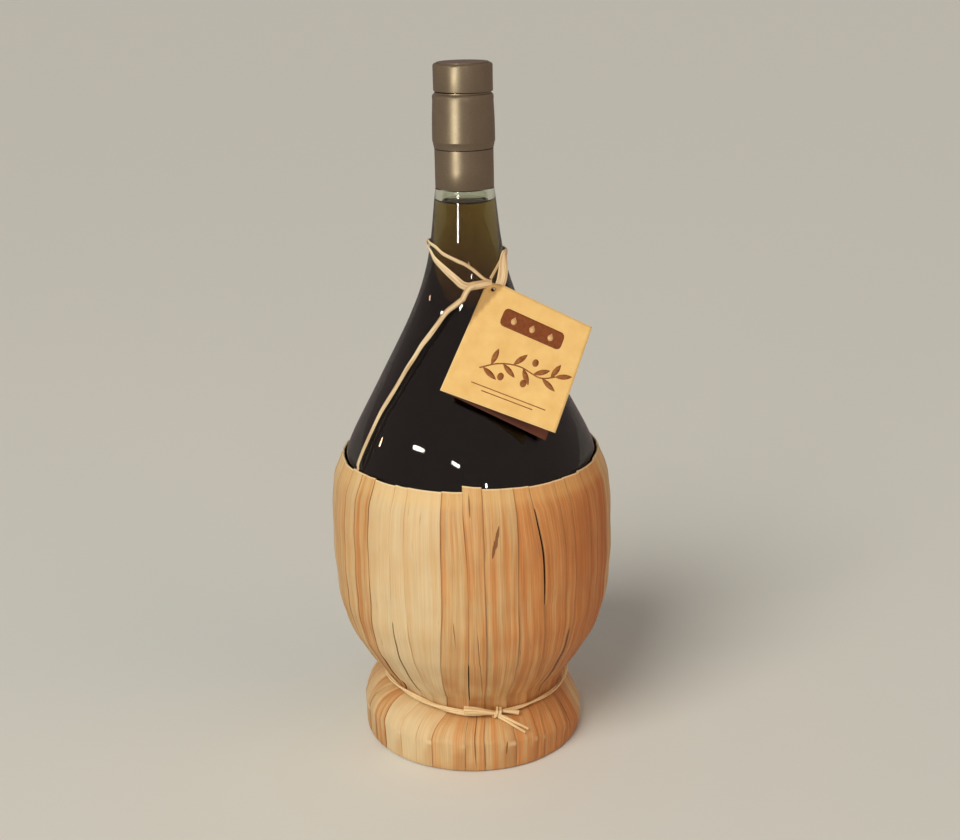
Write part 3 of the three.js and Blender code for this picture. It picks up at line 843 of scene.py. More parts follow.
def makeCapBarrel(material):
    outer, inner = capSet["outer"], capSet["outer"] - capSet["wall"]
    barrel, groove, low = capSet["barrel"], capSet["groove"], capSet["sleeveTop"] + capSet["gap"]
    foot, footRise, footFrom = capSet["footRound"]
    neckDrop, neckInset = capSet["neck"]
    shoulder, shoulderInset = capSet["shoulderRound"]
    outline = [(inner, groove), (inner, low), (outer + capSet["footFlare"], low)]
    outline += arc((barrel - foot, low + footRise), foot, footFrom, 0, 6)
    outline += [(barrel - inset, low + rise) for rise, inset in capSet["belly"]]
    outline.append((barrel - neckInset, groove - neckDrop))
    centre = (barrel - shoulderInset - shoulder, groove - shoulderInset - shoulder)
    outline += arc(centre, shoulder, *capSet["shoulderSweep"], 8)
    outline += [(outer - capSet["mouthInset"], groove), (inner, groove)]
    piece = turned("capBarrel", outline, sharpAngle=capSet["sharpAngle"])
    return dress(piece, material, "cap_bronze", "cap_barrel")


def makeCapSleeve(material):
    outer, inner = capSet["outer"], capSet["outer"] - capSet["wall"]
    foot, top = capSet["sleeveBottom"] + capSet["sleeveGap"], capSet["sleeveTop"]
    hemInset, hemRise = capSet["sleeveHem"]
    outline = [(inner, top), (inner, foot), (outer - hemInset, foot), (outer, foot + hemRise),
               (outer, foot + capSet["sleeveBand"]), (outer, top), (inner, top)]
    piece = turned("capSleeve", outline, sharpAngle=capSet["sharpAngle"])
    return dress(piece, material, "cap_bronze", "cap_sleeve")


# Folded card: two leaves that open from a fold at their left edge. The front leaf is a little out of
# square (corner offsets in its plane), bowed, and its top left corner is bent back.
cardSet = {
    "hole": (12.4, -24.7, 248.3),
    "turn": 12.5,
    "lean": 32,
    "spin": -28,
    "width": 58.2,
    "height": 60.1,
    "holeInset": (4.4, 3.5),
    "holeRadius": 1.3,
    "opening": 14,
    "thickness": 0.5,
    "cells": 40,
    "corners": {"topLeft": (1.1, -1.3), "topRight": (-0.9, 1.3), "footRight": (-0.3, -0.9),
                "footLeft": (-1.3, 1.3)},
    "bow": 0.7,
    "cornerFold": (8.5, 25),
    "cornerBend": 30,
    "softFold": 2.2,
    "creaseShade": 0.6,
    "mergeWithin": 0.05,
}


def cardFrame():
    turn, lean = math.radians(cardSet["turn"]), math.radians(cardSet["lean"])
    normal = Vector((math.sin(turn) * math.cos(lean), -math.cos(turn) * math.cos(lean), math.sin(lean)))
    up = (Vector((0, 0, 1)) - normal * normal.z).normalized()
    right = up.cross(normal)
    basis = Matrix((right, up, normal)).transposed().to_4x4()
    spin = Matrix.Rotation(math.radians(cardSet["spin"]), 4, "Z")
    return Matrix.Translation(Vector(cardSet["hole"]) * mm) @ basis @ spin


# How far a place on a leaf lies past the crease of the bent corner
def pastCrease(x, y):
    foldX, foldY = cardSet["cornerFold"]
    return (1 - x / foldX - y / foldY) / math.hypot(1 / foldX, 1 / foldY)


# A leaf's surface in the card's own millimetres: x from the fold, y down from the top edge
def leafPoint(x, y, back=False, lift=0):
    u, v = x / cardSet["width"], y / cardSet["height"]
    z = lift - cardSet["thickness"] / 2 - cardSet["bow"] * (1 - math.sin(math.pi * v)) * u
    past = pastCrease(x, y)
    if past > 0:
        z -= past * math.tan(math.radians(cardSet["cornerBend"])) * blendStep(0, cardSet["softFold"], past)
    corners = cardSet["corners"]
    shift = Vector((0, 0))
    weights = {"topLeft": (1 - u) * (1 - v), "topRight": u * (1 - v), "footRight": u * v,
               "footLeft": (1 - u) * v}
    for corner, weight in weights.items():
        if not back or corner.endswith("Left"):
            shift += Vector(corners[corner]) * weight
    x, y = x + shift.x, y + shift.y
    if back:
        angle = math.radians(cardSet["opening"])
        x, z = x * math.cos(angle), z - x * math.sin(angle)
    insetX, insetY = cardSet["holeInset"]
    return cardFrame() @ (Vector((x - insetX, insetY - y, z)) * mm)


def makeCard(material):
    bm = bmesh.new()
    uv = bm.loops.layers.uv.new("card")
    backLeafShade = bm.verts.layers.float.new("backLeafShade")
    cornerShadeMask = bm.verts.layers.float.new("cornerShadeMask")
    cells = cardSet["cells"]
    holeX, holeY = cardSet["holeInset"]
    stepX, stepY = cardSet["width"] / cells, cardSet["height"] / cells
    nearest = (round(holeX / stepX), round(holeY / stepY))
    for back in (True, False):
        grid = bmesh.ops.create_grid(bm, x_segments=cells, y_segments=cells, size=1)["verts"]
        faces = {f for v in grid for f in v.link_faces}
        for face in faces:
            for loop in face.loops:
                loop[uv].uv = ((loop.vert.co.x + 1) / 2, (1 - loop.vert.co.y) / 2)
        punched = []
        for vert in grid:
            column = round((vert.co.x + 1) / 2 * cells)
            row = round((1 - vert.co.y) / 2 * cells)
            x, y = column * stepX, row * stepY
            if (column, row) == nearest:
                punched.append(vert)
            elif abs(column - nearest[0]) <= 1 and abs(row - nearest[1]) <= 1:
                away = Vector((column - nearest[0], row - nearest[1])).normalized()
                x, y = holeX + away.x * cardSet["holeRadius"], holeY + away.y * cardSet["holeRadius"]
            # Painted shade: the back leaf, apart from its columns at the fold, is painted dark
            vert[backLeafShade] = 1 if back and column > 1 else 0
            # Painted shade on the bent top left corner: this mask darkens its colour, softened across the
            # crease
            vert[cornerShadeMask] = blendStep(-cardSet["creaseShade"], cardSet["creaseShade"], pastCrease(x, y))
            vert.co = leafPoint(x, y, back)
        bmesh.ops.delete(bm, geom=punched, context="VERTS")
    bmesh.ops.remove_doubles(bm, verts=bm.verts, dist=cardSet["mergeWithin"] * mm)
    card = asObject("foldedCard", bm, sharpAngle=60)
    wall = card.modifiers.new("thickness", "SOLIDIFY")
    wall.thickness = cardSet["thickness"] * mm
    wall.offset = 0
    return dress(card, material, "kraft_card", "tag")


# The card's print, in its own millimetres: a brown band with three drops, an olive sprig and two rules.
# The band is (centre, size), a leaf (share of the stem, angle from it), a rule (centre, size).
printSet = {
    "clear": 0.07,
    "ink": 0.05,
    "band": (30, 14.5, 33, 9.5),
    "bandCorner": 2.5,
    "drops": [(20, 14.5), (30, 14.5), (40, 14.5)],
    "dropSize": (3.0, 4.4),
    "stem": [(13, 43), (21, 37.5), (31, 35), (42, 36.5), (49, 33)],
    "stemWidth": 0.7,
    "stemSteps": 50,
    "leafSize": (9.0, 2.7),
    "leaves": [(0.06, 62), (0.16, -52), (0.30, 50), (0.42, -48), (0.54, 46), (0.66, -46), (0.78, 44),
               (0.9, -38), (1.0, 6)],
    "olives": [(24, 43.3), (37.5, 30.2), (35.4, 42.4)],
    "oliveSize": (3.1, 4.0),
    "rules": [(31, 51.0, 38, 0.5), (31, 53.2, 26, 0.5)],
    "ovalSides": 28,
    "panelCells": (90, 10),
    "dropPoint": 0.9,
    "dropTaper": (0.1, -1),
}


# Prints flat shapes on the front leaf: each is made in the card's millimetres, then laid on it
def printed(name, shapes, material, lift):
    bm = bmesh.new()
    for shape in shapes:
        faces = {f for v in shape(bm) for f in v.link_faces}
        bmesh.ops.triangulate(bm, faces=list(faces))
    for vert in bm.verts:
        vert.co = leafPoint(vert.co.x, vert.co.y, lift=lift)
    bmesh.ops.recalc_face_normals(bm, faces=bm.faces)
    facing = cardFrame().to_3x3() @ Vector((0, 0, 1))
    for face in bm.faces:
        if face.normal.dot(facing) < 0:
            face.normal_flip()
    decal = asObject(name, bm, sharpAngle=60)
    wall = decal.modifiers.new("ink", "SOLIDIFY")
    wall.thickness = printSet["ink"] * mm
    wall.offset = -1
    return dress(decal, material, "kraft_card")


# An oval, or with a sharpness a leaf that ends in two points; a drop has one point, at its top
def oval(centre, size, degrees=0, sharpness=0, drop=0):
    def shape(bm):
        sides = printSet["ovalSides"]
        verts = bmesh.ops.create_circle(bm, segments=sides, radius=1, cap_ends=True)["verts"]
        for vert in verts:
            x, y = vert.co.x, vert.co.y
            y *= (1 - abs(x) ** 2) ** (sharpness / 2) if sharpness else 1
            x *= 1 - drop * blendStep(*printSet["dropTaper"], y)
            vert.co = (x * size[0] / 2, y * size[1] / 2, 0)
        turn = Matrix.Translation((*centre, 0)) @ Matrix.Rotation(math.radians(degrees), 4, "Z")
        bmesh.ops.transform(bm, matrix=turn, verts=verts)
        return verts
    return shape


# A bar laid along a curve of points
def bar(points, width, steps=24):
    def shape(bm):
        along = curveThrough([Vector((*point, 0)) for point in points], steps)
        verts = bmesh.ops.create_grid(bm, x_segments=steps, y_segments=1, size=1)["verts"]
        for vert in verts:
            i = round((vert.co.x + 1) / 2 * steps)
            ahead = (along[min(steps, i + 1)] - along[max(0, i - 1)]).normalized()
            side = Vector((-ahead.y, ahead.x, 0)) * (width / 2 if vert.co.y > 0 else -width / 2)
            vert.co = along[i] + side
        return verts
    return shape


# A panel with round corners
def panel(centreX, centreY, width, height, corner):
    def shape(bm):
        columns, rows = printSet["panelCells"]
        verts = bmesh.ops.create_grid(bm, x_segments=columns, y_segments=rows, size=1)["verts"]
        for vert in verts:
            x, y = vert.co.x * width / 2, vert.co.y * height / 2
            pastX = max(0, abs(x) - (width / 2 - corner))
            narrow = corner - math.sqrt(max(0, corner ** 2 - pastX ** 2))
            y *= 1 - narrow / (height / 2)
            vert.co = (centreX + x, centreY + y, 0)
        return verts
    return shape


def makePrint(brownInk, panelInk, paleInk):
    steps = printSet["stemSteps"]
    stem = curveThrough([Vector((*point, 0)) for point in printSet["stem"]], steps)
    leaves = []
    for share, degrees in printSet["leaves"]:
        i = min(steps - 1, int(share * steps))
        foot = stem[i]
        ahead = (stem[i + 1] - stem[i]).normalized()
        turn = math.degrees(math.atan2(ahead.y, ahead.x)) + degrees
        way = Vector((math.cos(math.radians(turn)), math.sin(math.radians(turn)), 0))
        centre = foot + way * printSet["leafSize"][0] / 2
        leaves.append(oval(centre.xy, printSet["leafSize"], turn, sharpness=1))
    olives = [oval(place, printSet["oliveSize"]) for place in printSet["olives"]]
    rules = []
    for x, y, width, height in printSet["rules"]:
        rules.append(bar([(x - width / 2, y), (x, y), (x + width / 2, y)], height))
    sprig = [bar(printSet["stem"], printSet["stemWidth"])] + leaves + olives + rules
    band = [panel(*printSet["band"], printSet["bandCorner"])]
    drops = [oval(place, printSet["dropSize"], drop=printSet["dropPoint"]) for place in printSet["drops"]]
    lift = cardSet["thickness"] / 2 + printSet["clear"]
    printed("printSprig", sprig, brownInk, lift)
    printed("printBand", band, panelInk, lift)
    printed("printDrops", drops, paleInk, lift + printSet["ink"])


# Materials
def put(tree, kind, inputs=None, **properties):
    node = tree.nodes.new(kind)
    for name, value in properties.items():
        setattr(node, name, value)
    for name, value in (inputs or {}).items():
        if isinstance(value, bpy.types.NodeSocket):
            tree.links.new(value, node.inputs[name])
        else:
            node.inputs[name].default_value = value
    return node


def newMaterial(name, inputs):
    material = bpy.data.materials.new(name)
    material.use_nodes = True
    tree = material.node_tree
    shader = tree.nodes["Principled BSDF"]
    for socket, value in inputs.items():
        shader.inputs[socket].default_value = value
    return material, tree, shader


def feed(tree, shader, **sockets):
    for name, value in sockets.items():
        tree.links.new(value, shader.inputs[name.replace("_", " ")])


def colourRamp(tree, value, stops):
    ramp = put(tree, "ShaderNodeValToRGB", {"Fac": value})
    elements = ramp.color_ramp.elements
    while len(elements) < len(stops):
        elements.new(0.5)
    for element, (position, colour) in zip(elements, stops):
        element.position = position
        element.color = (*colour, 1)
    return ramp.outputs["Color"]


def calculate(tree, operation, a, b=0.0, clamp=False):
    return put(tree, "ShaderNodeMath", {0: a, 1: b}, operation=operation, use_clamp=clamp).outputs[0]


# Two values added by weight
def blended(tree, a, b, weight):
    return calculate(tree, "ADD", calculate(tree, "MULTIPLY", a, weight),
                     calculate(tree, "MULTIPLY", b, 1 - weight))


def noiseOf(tree, place, scale, detail):
    inputs = {"Vector": place, "Scale": scale, "Detail": detail}
    return put(tree, "ShaderNodeTexNoise", inputs).outputs["Fac"]


# Noise hardly leaves this range
noiseRange = (0.3, 0.7)


def ranged(tree, value, low, high, toLow=0.0, toHigh=1.0):
    limits = {"Value": value, "From Min": low, "From Max": high, "To Min": toLow, "To Max": toHigh}
    return put(tree, "ShaderNodeMapRange", limits, interpolation_type="SMOOTHSTEP").outputs["Result"]


def mixed(tree, factor, a, b, blend="MIX"):
    inputs = {0: factor, 6: a, 7: b}
    return put(tree, "ShaderNodeMix", inputs, data_type="RGBA", blend_type=blend).outputs[2]


def bumped(tree, height, distance, strength):
    inputs = {"Height": height, "Distance": distance * mm, "Strength": strength}
    return put(tree, "ShaderNodeBump", inputs).outputs["Normal"]


def attributeOf(tree, name):
    return put(tree, "ShaderNodeAttribute", attribute_name=name).outputs["Fac"]


def newGroup(name, inputs, outputs):
    group = bpy.data.node_groups.new(name, "ShaderNodeTree")
    for label, kind in inputs.items():
        group.interface.new_socket(label, in_out="INPUT", socket_type=kind)
    for label in outputs:
        group.interface.new_socket(label, in_out="OUTPUT", socket_type="NodeSocketFloat")
    return group, put(group, "NodeGroupInput").outputs, put(group, "NodeGroupOutput")


# Plant fibre: broad bands, fine lines and sparse dark flecks, each stretched by its own scale.
# A layer is (seed shift, detail, from, to).
grainSet = {
    "Bands": (0.0, 3.0, *noiseRange),
    "Lines": (7.0, 4.0, *noiseRange),
    "Flecks": (19.0, 2.0, 0.66, 0.76),
}


def fibreGrainGroup():
    kinds = {"Place": "NodeSocketVector", "Seed": "NodeSocketFloat", "Band Scale": "NodeSocketVector",
             "Line Scale": "NodeSocketVector", "Fleck Scale": "NodeSocketVector"}
    group, given, result = newGroup("fibreGrain", kinds, ("Bands", "Lines", "Flecks"))

    for name, (seedShift, detail, low, high) in grainSet.items():
        inputs = {0: given["Place"], 1: given[f"{name[:-1]} Scale"]}
        stretched = put(group, "ShaderNodeVectorMath", inputs, operation="MULTIPLY").outputs[0]
        seed = calculate(group, "ADD", given["Seed"], seedShift)
        texture = {"Vector": stretched, "W": seed, "Scale": 1.0, "Detail": detail}
        layer = put(group, "ShaderNodeTexNoise", texture, noise_dimensions="4D").outputs["Fac"]
        group.links.new(ranged(group, layer, low, high), result.inputs[name])
    return group


# Places the fibre grain in a material and returns its three layers
def grainIn(tree, fibreGrain, place, look, seed=None):
    grain = put(tree, "ShaderNodeGroup", node_tree=fibreGrain)
    tree.links.new(place, grain.inputs["Place"])
    if seed is not None:
        tree.links.new(seed, grain.inputs["Seed"])
    for name, value in look.items():
        if name.endswith("Scale"):
            grain.inputs[name].default_value = value
    return [grain.outputs[name] for name in grainSet]


# A dark split or stain on one strip, from its start to its end, ragged by the grain
stainSet = {
    "leastReach": 0.45,
    "softEdge": 0.2 * uvPerMm,
}


def stainGroup():
    kinds = {"Place": "NodeSocketVector", "Strip": "NodeSocketFloat", "Ragged": "NodeSocketFloat",
             "Number": "NodeSocketFloat", "Start": "NodeSocketVector", "End": "NodeSocketVector",
             "Half Width": "NodeSocketFloat"}
    group, given, result = newGroup("stripStain", kinds, ("Mask",))

    def parts(socket):
        return put(group, "ShaderNodeSeparateXYZ", {0: socket}).outputs

    place, start, end = parts(given["Place"]), parts(given["Start"]), parts(given["End"])
    travel = calculate(group, "SUBTRACT", end["Y"], start["Y"])
    t = calculate(group, "DIVIDE", calculate(group, "SUBTRACT", place["Y"], start["Y"]), travel)
    sideways = calculate(group, "MULTIPLY", calculate(group, "SUBTRACT", end["X"], start["X"]), t)
    centre = calculate(group, "ADD", start["X"], sideways)
    distance = calculate(group, "ABSOLUTE", calculate(group, "SUBTRACT", place["X"], centre))
    rest = calculate(group, "SUBTRACT", 1.0, t)
    taper = calculate(group, "MULTIPLY", calculate(group, "MULTIPLY", t, rest), 4.0, clamp=True)
    uneven = calculate(group, "ADD", given["Ragged"], stainSet["leastReach"])
    reach = calculate(group, "MULTIPLY", calculate(group, "SQRT", taper), given["Half Width"])
    reach = calculate(group, "MULTIPLY", reach, uneven)
    past = calculate(group, "SUBTRACT", reach, distance)
    inside = calculate(group, "DIVIDE", past, stainSet["softEdge"], clamp=True)
    gap = calculate(group, "ABSOLUTE", calculate(group, "SUBTRACT", given["Strip"], given["Number"]))
    same = calculate(group, "LESS_THAN", gap, 0.5)
    group.links.new(calculate(group, "MULTIPLY", inside, same), result.inputs["Mask"])
    return group


glassLook = {"Base Color": (0.78, 0.81, 0.70, 1), "Roughness": 0.015, "IOR": 1.5, "Transmission Weight": 1}
oilLook = {"Base Color": (1, 1, 1, 1), "Roughness": 0.0, "IOR": 1.47, "Transmission Weight": 1}
oilDepth = {"Color": (0.70, 0.57, 0.06, 1), "Density": 180}


def glassMaterial():
    return newMaterial("bottleGlass", glassLook)[0]


def oilMaterial():
    material, tree = newMaterial("oliveOil", oilLook)[:2]
    absorb = put(tree, "ShaderNodeVolumeAbsorption", oilDepth)
    tree.links.new(absorb.outputs["Volume"], tree.nodes["Material Output"].inputs["Volume"])
    return material


# Satin bronze lacquer: a fine grain with cloudy patches
bronzeLook = {
    "shader": {"Metallic": 0.85, "Roughness": 0.36},
    "grain": (2200, 2),
    "cloud": (60, 3),
    "grainShare": 0.6,
    "colours": [(0.3, (0.34, 0.275, 0.18)), (0.7, (0.46, 0.385, 0.265))],
    "roughness": (0.32, 0.40),
    "relief": (0.05, 0.15),
}


def bronzeMaterial():
    look = bronzeLook
    material, tree, shader = newMaterial("capBronze", look["shader"])
    place = put(tree, "ShaderNodeTexCoord").outputs["Object"]
    grain, cloud = noiseOf(tree, place, *look["grain"]), noiseOf(tree, place, *look["cloud"])
    colour = colourRamp(tree, blended(tree, grain, cloud, look["grainShare"]), look["colours"])
    feed(tree, shader, Base_Color=colour, Roughness=ranged(tree, cloud, *noiseRange, *look["roughness"]),
         Normal=bumped(tree, grain, *look["relief"]))
    return material


# Dried reed. Tones run from pale straw to orange brown, and pale strips have fainter streaks and fainter
# painted shade along their edges.
# Distances down a strip are UV units of 100 mm; those from an edge or the fold are millimetres.
reedLook = {
    "shader": {"Roughness": 0.5},
    "Band Scale": (38, 1.1, 1),
    "Line Scale": (170, 3.0, 1),
    "Fleck Scale": (95, 5.5, 1),
    "blotch": (3.5, 2),
    "blotchTone": (-0.08, 0.08),
    "streakTone": (-0.13, 0.2),
    "contrast": (0.05, 0.5, 0.45, 1.0),
    "colours": [(0, (0.74, 0.56, 0.32)), (0.3, (0.69, 0.435, 0.195)), (0.6, (0.64, 0.285, 0.092)),
                (1, (0.55, 0.18, 0.042))],
    "lineShade": (0.05, 0.5, 0.92, 0.80),
    # Painted light: a brighter orange band at the top of each strip, below the rim
    "rimGlow": (0.05, 0.11, 0.3, 0.0),
    "rimColour": (0.84, 0.55, 0.21, 1),
    # Darker brown in patches from the lower belly down over the waist and foot
    "aged": (0.85, 1.35, 0.0, 0.6),
    "agedPatches": (0.38, 0.62),
    "agedColour": (0.40, 0.19, 0.07, 1),
    # Painted shade where strips meet: their edges darkened towards brown
    "edge": (0.0, 0.4, 0.65, 0.0),
    "edgeColour": (0.26, 0.11, 0.04, 1),
    # Painted highlight along the fold of the foot, in patches, and a paler strip along the top edge
    "wornFold": (0.2, 2.0, 0.4, 0.0),
    "wornPatches": (0.35, 0.6),
    "wornRim": (0.003, 0.009, 0.6, 0.0),
    "wornColour": (0.97, 0.80, 0.52, 1),
    "fleck": 0.55,
    "fleckColour": (0.30, 0.13, 0.05, 1),
    "stain": 0.85,
    "stainColour": (0.19, 0.065, 0.02, 1),
    "bandRelief": 0.6,
    "stainRelief": 2.0,
    "relief": (0.12, 0.5),
    "roughness": (0.42, 0.58),
}


# All the stains of the basket as one mask
def stainMask(tree, stripStain, uv, lines):
    number = attributeOf(tree, "stripNumber")
    mask = None
    for index, topShare, top, footShare, foot, width in reedSet["stains"]:
        strip = measureStrip(index)
        line = strip["line"]
        rows = range(len(line) - 1 - basketSet["hemFlatRows"])
        ends = []
        for share, z in ((topShare, top), (footShare, foot)):
            row = min(rows, key=lambda i: abs(line[i].y - z))
            ends.append((share * strip["width"] * uvPerMm, strip["lengths"][row] * uvPerMm, 0))
        values = {"Place": uv, "Strip": number, "Ragged": lines, "Number": index, "Start": ends[0],
                  "End": ends[1], "Half Width": width / 2 * uvPerMm}
        stain = put(tree, "ShaderNodeGroup", node_tree=stripStain)
        for name, value in values.items():
            if isinstance(value, bpy.types.NodeSocket):
                tree.links.new(value, stain.inputs[name])
            else:
                stain.inputs[name].default_value = value
        own = stain.outputs["Mask"]
        mask = own if mask is None else calculate(tree, "MAXIMUM", mask, own)
    return mask


def reedMaterial(fibreGrain, stripStain):
    look = reedLook
    material, tree, shader = newMaterial("reed", look["shader"])
    uv = put(tree, "ShaderNodeUVMap", uv_map="reed").outputs["UV"]
    down = put(tree, "ShaderNodeSeparateXYZ", {0: uv}).outputs["Y"]
    bands, lines, flecks = grainIn(tree, fibreGrain, uv, look, attributeOf(tree, "grainSeed"))
    blotch = noiseOf(tree, uv, *look["blotch"])
    stripTone = attributeOf(tree, "tone")
    contrast = ranged(tree, stripTone, *look["contrast"])

    streak = calculate(tree, "MULTIPLY", ranged(tree, bands, 0.0, 1.0, *look["streakTone"]), contrast)
    tone = calculate(tree, "ADD", stripTone, streak)
    tone = calculate(tree, "ADD", tone, ranged(tree, blotch, *noiseRange, *look["blotchTone"]), clamp=True)
    colour = colourRamp(tree, tone, look["colours"])
    shade = ranged(tree, lines, 0.0, 1.0, ranged(tree, stripTone, *look["lineShade"]), 1.0)
    colour = mixed(tree, 1.0, colour, shade, "MULTIPLY")

    # Painted light: the top of each strip is coloured brighter orange where it catches light
    colour = mixed(tree, ranged(tree, down, *look["rimGlow"]), colour, look["rimColour"])
    # Darker brown in patches lower down the strips, over the waist and foot
    aged = calculate(tree, "MULTIPLY", ranged(tree, down, *look["aged"]), contrast)
    aged = calculate(tree, "MULTIPLY", aged, ranged(tree, blotch, *look["agedPatches"]))
    colour = mixed(tree, aged, colour, look["agedColour"])
    # Painted shade along each strip's edges, where strips meet
    edge = ranged(tree, attributeOf(tree, "edgeDistance"), *look["edge"])
    colour = mixed(tree, calculate(tree, "MULTIPLY", edge, contrast), colour, look["edgeColour"])
    # Painted highlight: a pale line along the fold of the foot, in patches; the strips are also paler along
    # their top edge
    foldHighlightAndEdge = ranged(tree, attributeOf(tree, "foldDistance"), *look["wornFold"])
    foldHighlightAndEdge = calculate(tree, "MULTIPLY", foldHighlightAndEdge, ranged(tree, blotch, *look["wornPatches"]))
    foldHighlightAndEdge = calculate(tree, "MAXIMUM", foldHighlightAndEdge, ranged(tree, down, *look["wornRim"]))
    colour = mixed(tree, foldHighlightAndEdge, colour, look["wornColour"])
    colour = mixed(tree, calculate(tree, "MULTIPLY", flecks, look["fleck"]), colour, look["fleckColour"])
    stains = stainMask(tree, stripStain, uv, lines)
    colour = mixed(tree, calculate(tree, "MULTIPLY", stains, look["stain"]), colour, look["stainColour"])

    relief = calculate(tree, "ADD", calculate(tree, "MULTIPLY", bands, look["bandRelief"]), lines)
    relief = calculate(tree, "SUBTRACT", relief, calculate(tree, "MULTIPLY", stains, look["stainRelief"]))
    feed(tree, shader, Base_Color=colour, Roughness=ranged(tree, bands, 0.0, 1.0, *look["roughness"]),
         Normal=bumped(tree, relief, *look["relief"]))
    return material


# Raffia and cord: the grain follows each strand's own attributes, in metres along it
fibreLook = {
    "shader": {"Roughness": 0.5},
    "Band Scale": (1.6, 60, 1),
    "Line Scale": (6, 40, 1),
    "bandShare": 0.5,
    "tones": (0.15, 0.7),
    "relief": (0.15, 0.5),
}


def fibreMaterial(name, fibreGrain, dark, light):
    look = fibreLook
    material, tree, shader = newMaterial(name, look["shader"])
    inputs = {"X": attributeOf(tree, "across"), "Y": attributeOf(tree, "along")}
    place = put(tree, "ShaderNodeCombineXYZ", inputs).outputs["Vector"]
    bands, lines = grainIn(tree, fibreGrain, place, look)[:2]
    tone = blended(tree, bands, lines, look["bandShare"])
    colour = colourRamp(tree, tone, list(zip(look["tones"], (dark, light))))
    feed(tree, shader, Base_Color=colour, Normal=bumped(tree, lines, *look["relief"]))
    return material


# Kraft card: mottled, with pale cut edges, painted shade on the bent corner, and the back leaf painted dark
# brown as shade
cardLook = {
    "shader": {"Roughness": 0.7},
    "mottle": (7, 5),
    "fibres": (160, 3),
    "mottleShare": 0.75,
    "colours": [(0.32, (0.80, 0.51, 0.18)), (0.68, (0.90, 0.63, 0.25))],
    "border": (0.002, 0.010, 0.6, 0.0),
    "borderColour": (0.96, 0.74, 0.40, 1),
    # Painted shade: the bent corner is mixed towards a dark brown
    "bend": 0.8,
    "bendColour": (0.44, 0.25, 0.09, 1),
    # Painted shade: the dark brown of the back leaf
    "backLeafShadeColour": (0.16, 0.05, 0.03, 1),
    "relief": (0.05, 0.25),
}


def cardMaterial():
    look = cardLook
    material, tree, shader = newMaterial("kraftCard", look["shader"])
    uv = put(tree, "ShaderNodeUVMap", uv_map="card").outputs["UV"]
    mottle, fibres = noiseOf(tree, uv, *look["mottle"]), noiseOf(tree, uv, *look["fibres"])
    colour = colourRamp(tree, blended(tree, mottle, fibres, look["mottleShare"]), look["colours"])
    place = put(tree, "ShaderNodeSeparateXYZ", {0: uv}).outputs
    borders = []
    for axis in ("X", "Y"):
        other = calculate(tree, "SUBTRACT", 1.0, place[axis])
        borders.append(calculate(tree, "MINIMUM", place[axis], other))
    border = calculate(tree, "MINIMUM", *borders)
    colour = mixed(tree, ranged(tree, border, *look["border"]), colour, look["borderColour"])
    # Painted shade: the bent corner is darkened towards brown
    bend = calculate(tree, "MULTIPLY", attributeOf(tree, "cornerShadeMask"), look["bend"])
    colour = mixed(tree, bend, colour, look["bendColour"])
    # Painted shade: the back leaf is mixed to a dark brown
    colour = mixed(tree, attributeOf(tree, "backLeafShade"), colour, look["backLeafShadeColour"])
    feed(tree, shader, Base_Color=colour, Normal=bumped(tree, fibres, *look["relief"]))
    return material


# Ink on card: worn a little, so the card's tone comes through unevenly
inkLook = {
    "shader": {"Roughness": 0.6},
    "wear": (700, 3),
    "tones": (0.35, 0.75),
    "brown": ((0.27, 0.085, 0.02), (0.42, 0.17, 0.05)),
    "panel": ((0.20, 0.05, 0.012), (0.27, 0.08, 0.022)),
    "pale": ((0.80, 0.52, 0.24), (0.60, 0.33, 0.13)),
}


def inkMaterial(kind):
    material, tree, shader = newMaterial(kind + "Ink", inkLook["shader"])
    place = put(tree, "ShaderNodeTexCoord").outputs["Object"]
    wear = noiseOf(tree, place, *inkLook["wear"])
    feed(tree, shader, Base_Color=colourRamp(tree, wear, list(zip(inkLook["tones"], inkLook[kind]))))
    return material


# Packed straw of the foot ring, laid level
strawLook = {
    "shader": {"Roughness": 0.85},
    "Band Scale": (60, 60, 400),
    "Line Scale": (200, 200, 1500),
    "bandShare": 0.5,
    "colours": [(0.2, (0.22, 0.13, 0.05)), (0.8, (0.58, 0.40, 0.19))],
    "relief": (0.6, 0.8),
}


def strawMaterial(fibreGrain):
    look = strawLook
    material, tree, shader = newMaterial("packedStraw", look["shader"])
    place = put(tree, "ShaderNodeTexCoord").outputs["Object"]
    bands, lines = grainIn(tree, fibreGrain, place, look)[:2]
    colour = colourRamp(tree, blended(tree, bands, lines, look["bandShare"]), look["colours"])
    feed(tree, shader, Base_Color=colour, Normal=bumped(tree, lines, *look["relief"]))
    return material


def dressFootRing(material):
    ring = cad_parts["foot_ring"]
    ring.data.materials.clear()
    ring.data.materials.append(material)


fibreGrain = fibreGrainGroup()
raffia = fibreMaterial("raffia", fibreGrain, (0.50, 0.31, 0.14), (0.88, 0.70, 0.44))
cordFibre = fibreMaterial("cordFibre", fibreGrain, (0.56, 0.34, 0.14), (0.94, 0.72, 0.42))

makeTail(raffia)
makeGlass(glassMaterial())
makeOil(oilMaterial())
print("flask and oil made")
makeBasket(reedMaterial(fibreGrain, stainGroup()))
makeWaistCord(cordFibre)
dressFootRing(strawMaterial(fibreGrain))
print("basket made")
makeTie(raffia)
bronze = bronzeMaterial()
makeCapTop(bronze)
makeCapBarrel(bronze)
makeCapSleeve(bronze)
makeCard(cardMaterial())
makePrint(inkMaterial("brown"), inkMaterial("panel"), inkMaterial("pale"))
print("tie, cap and card made")


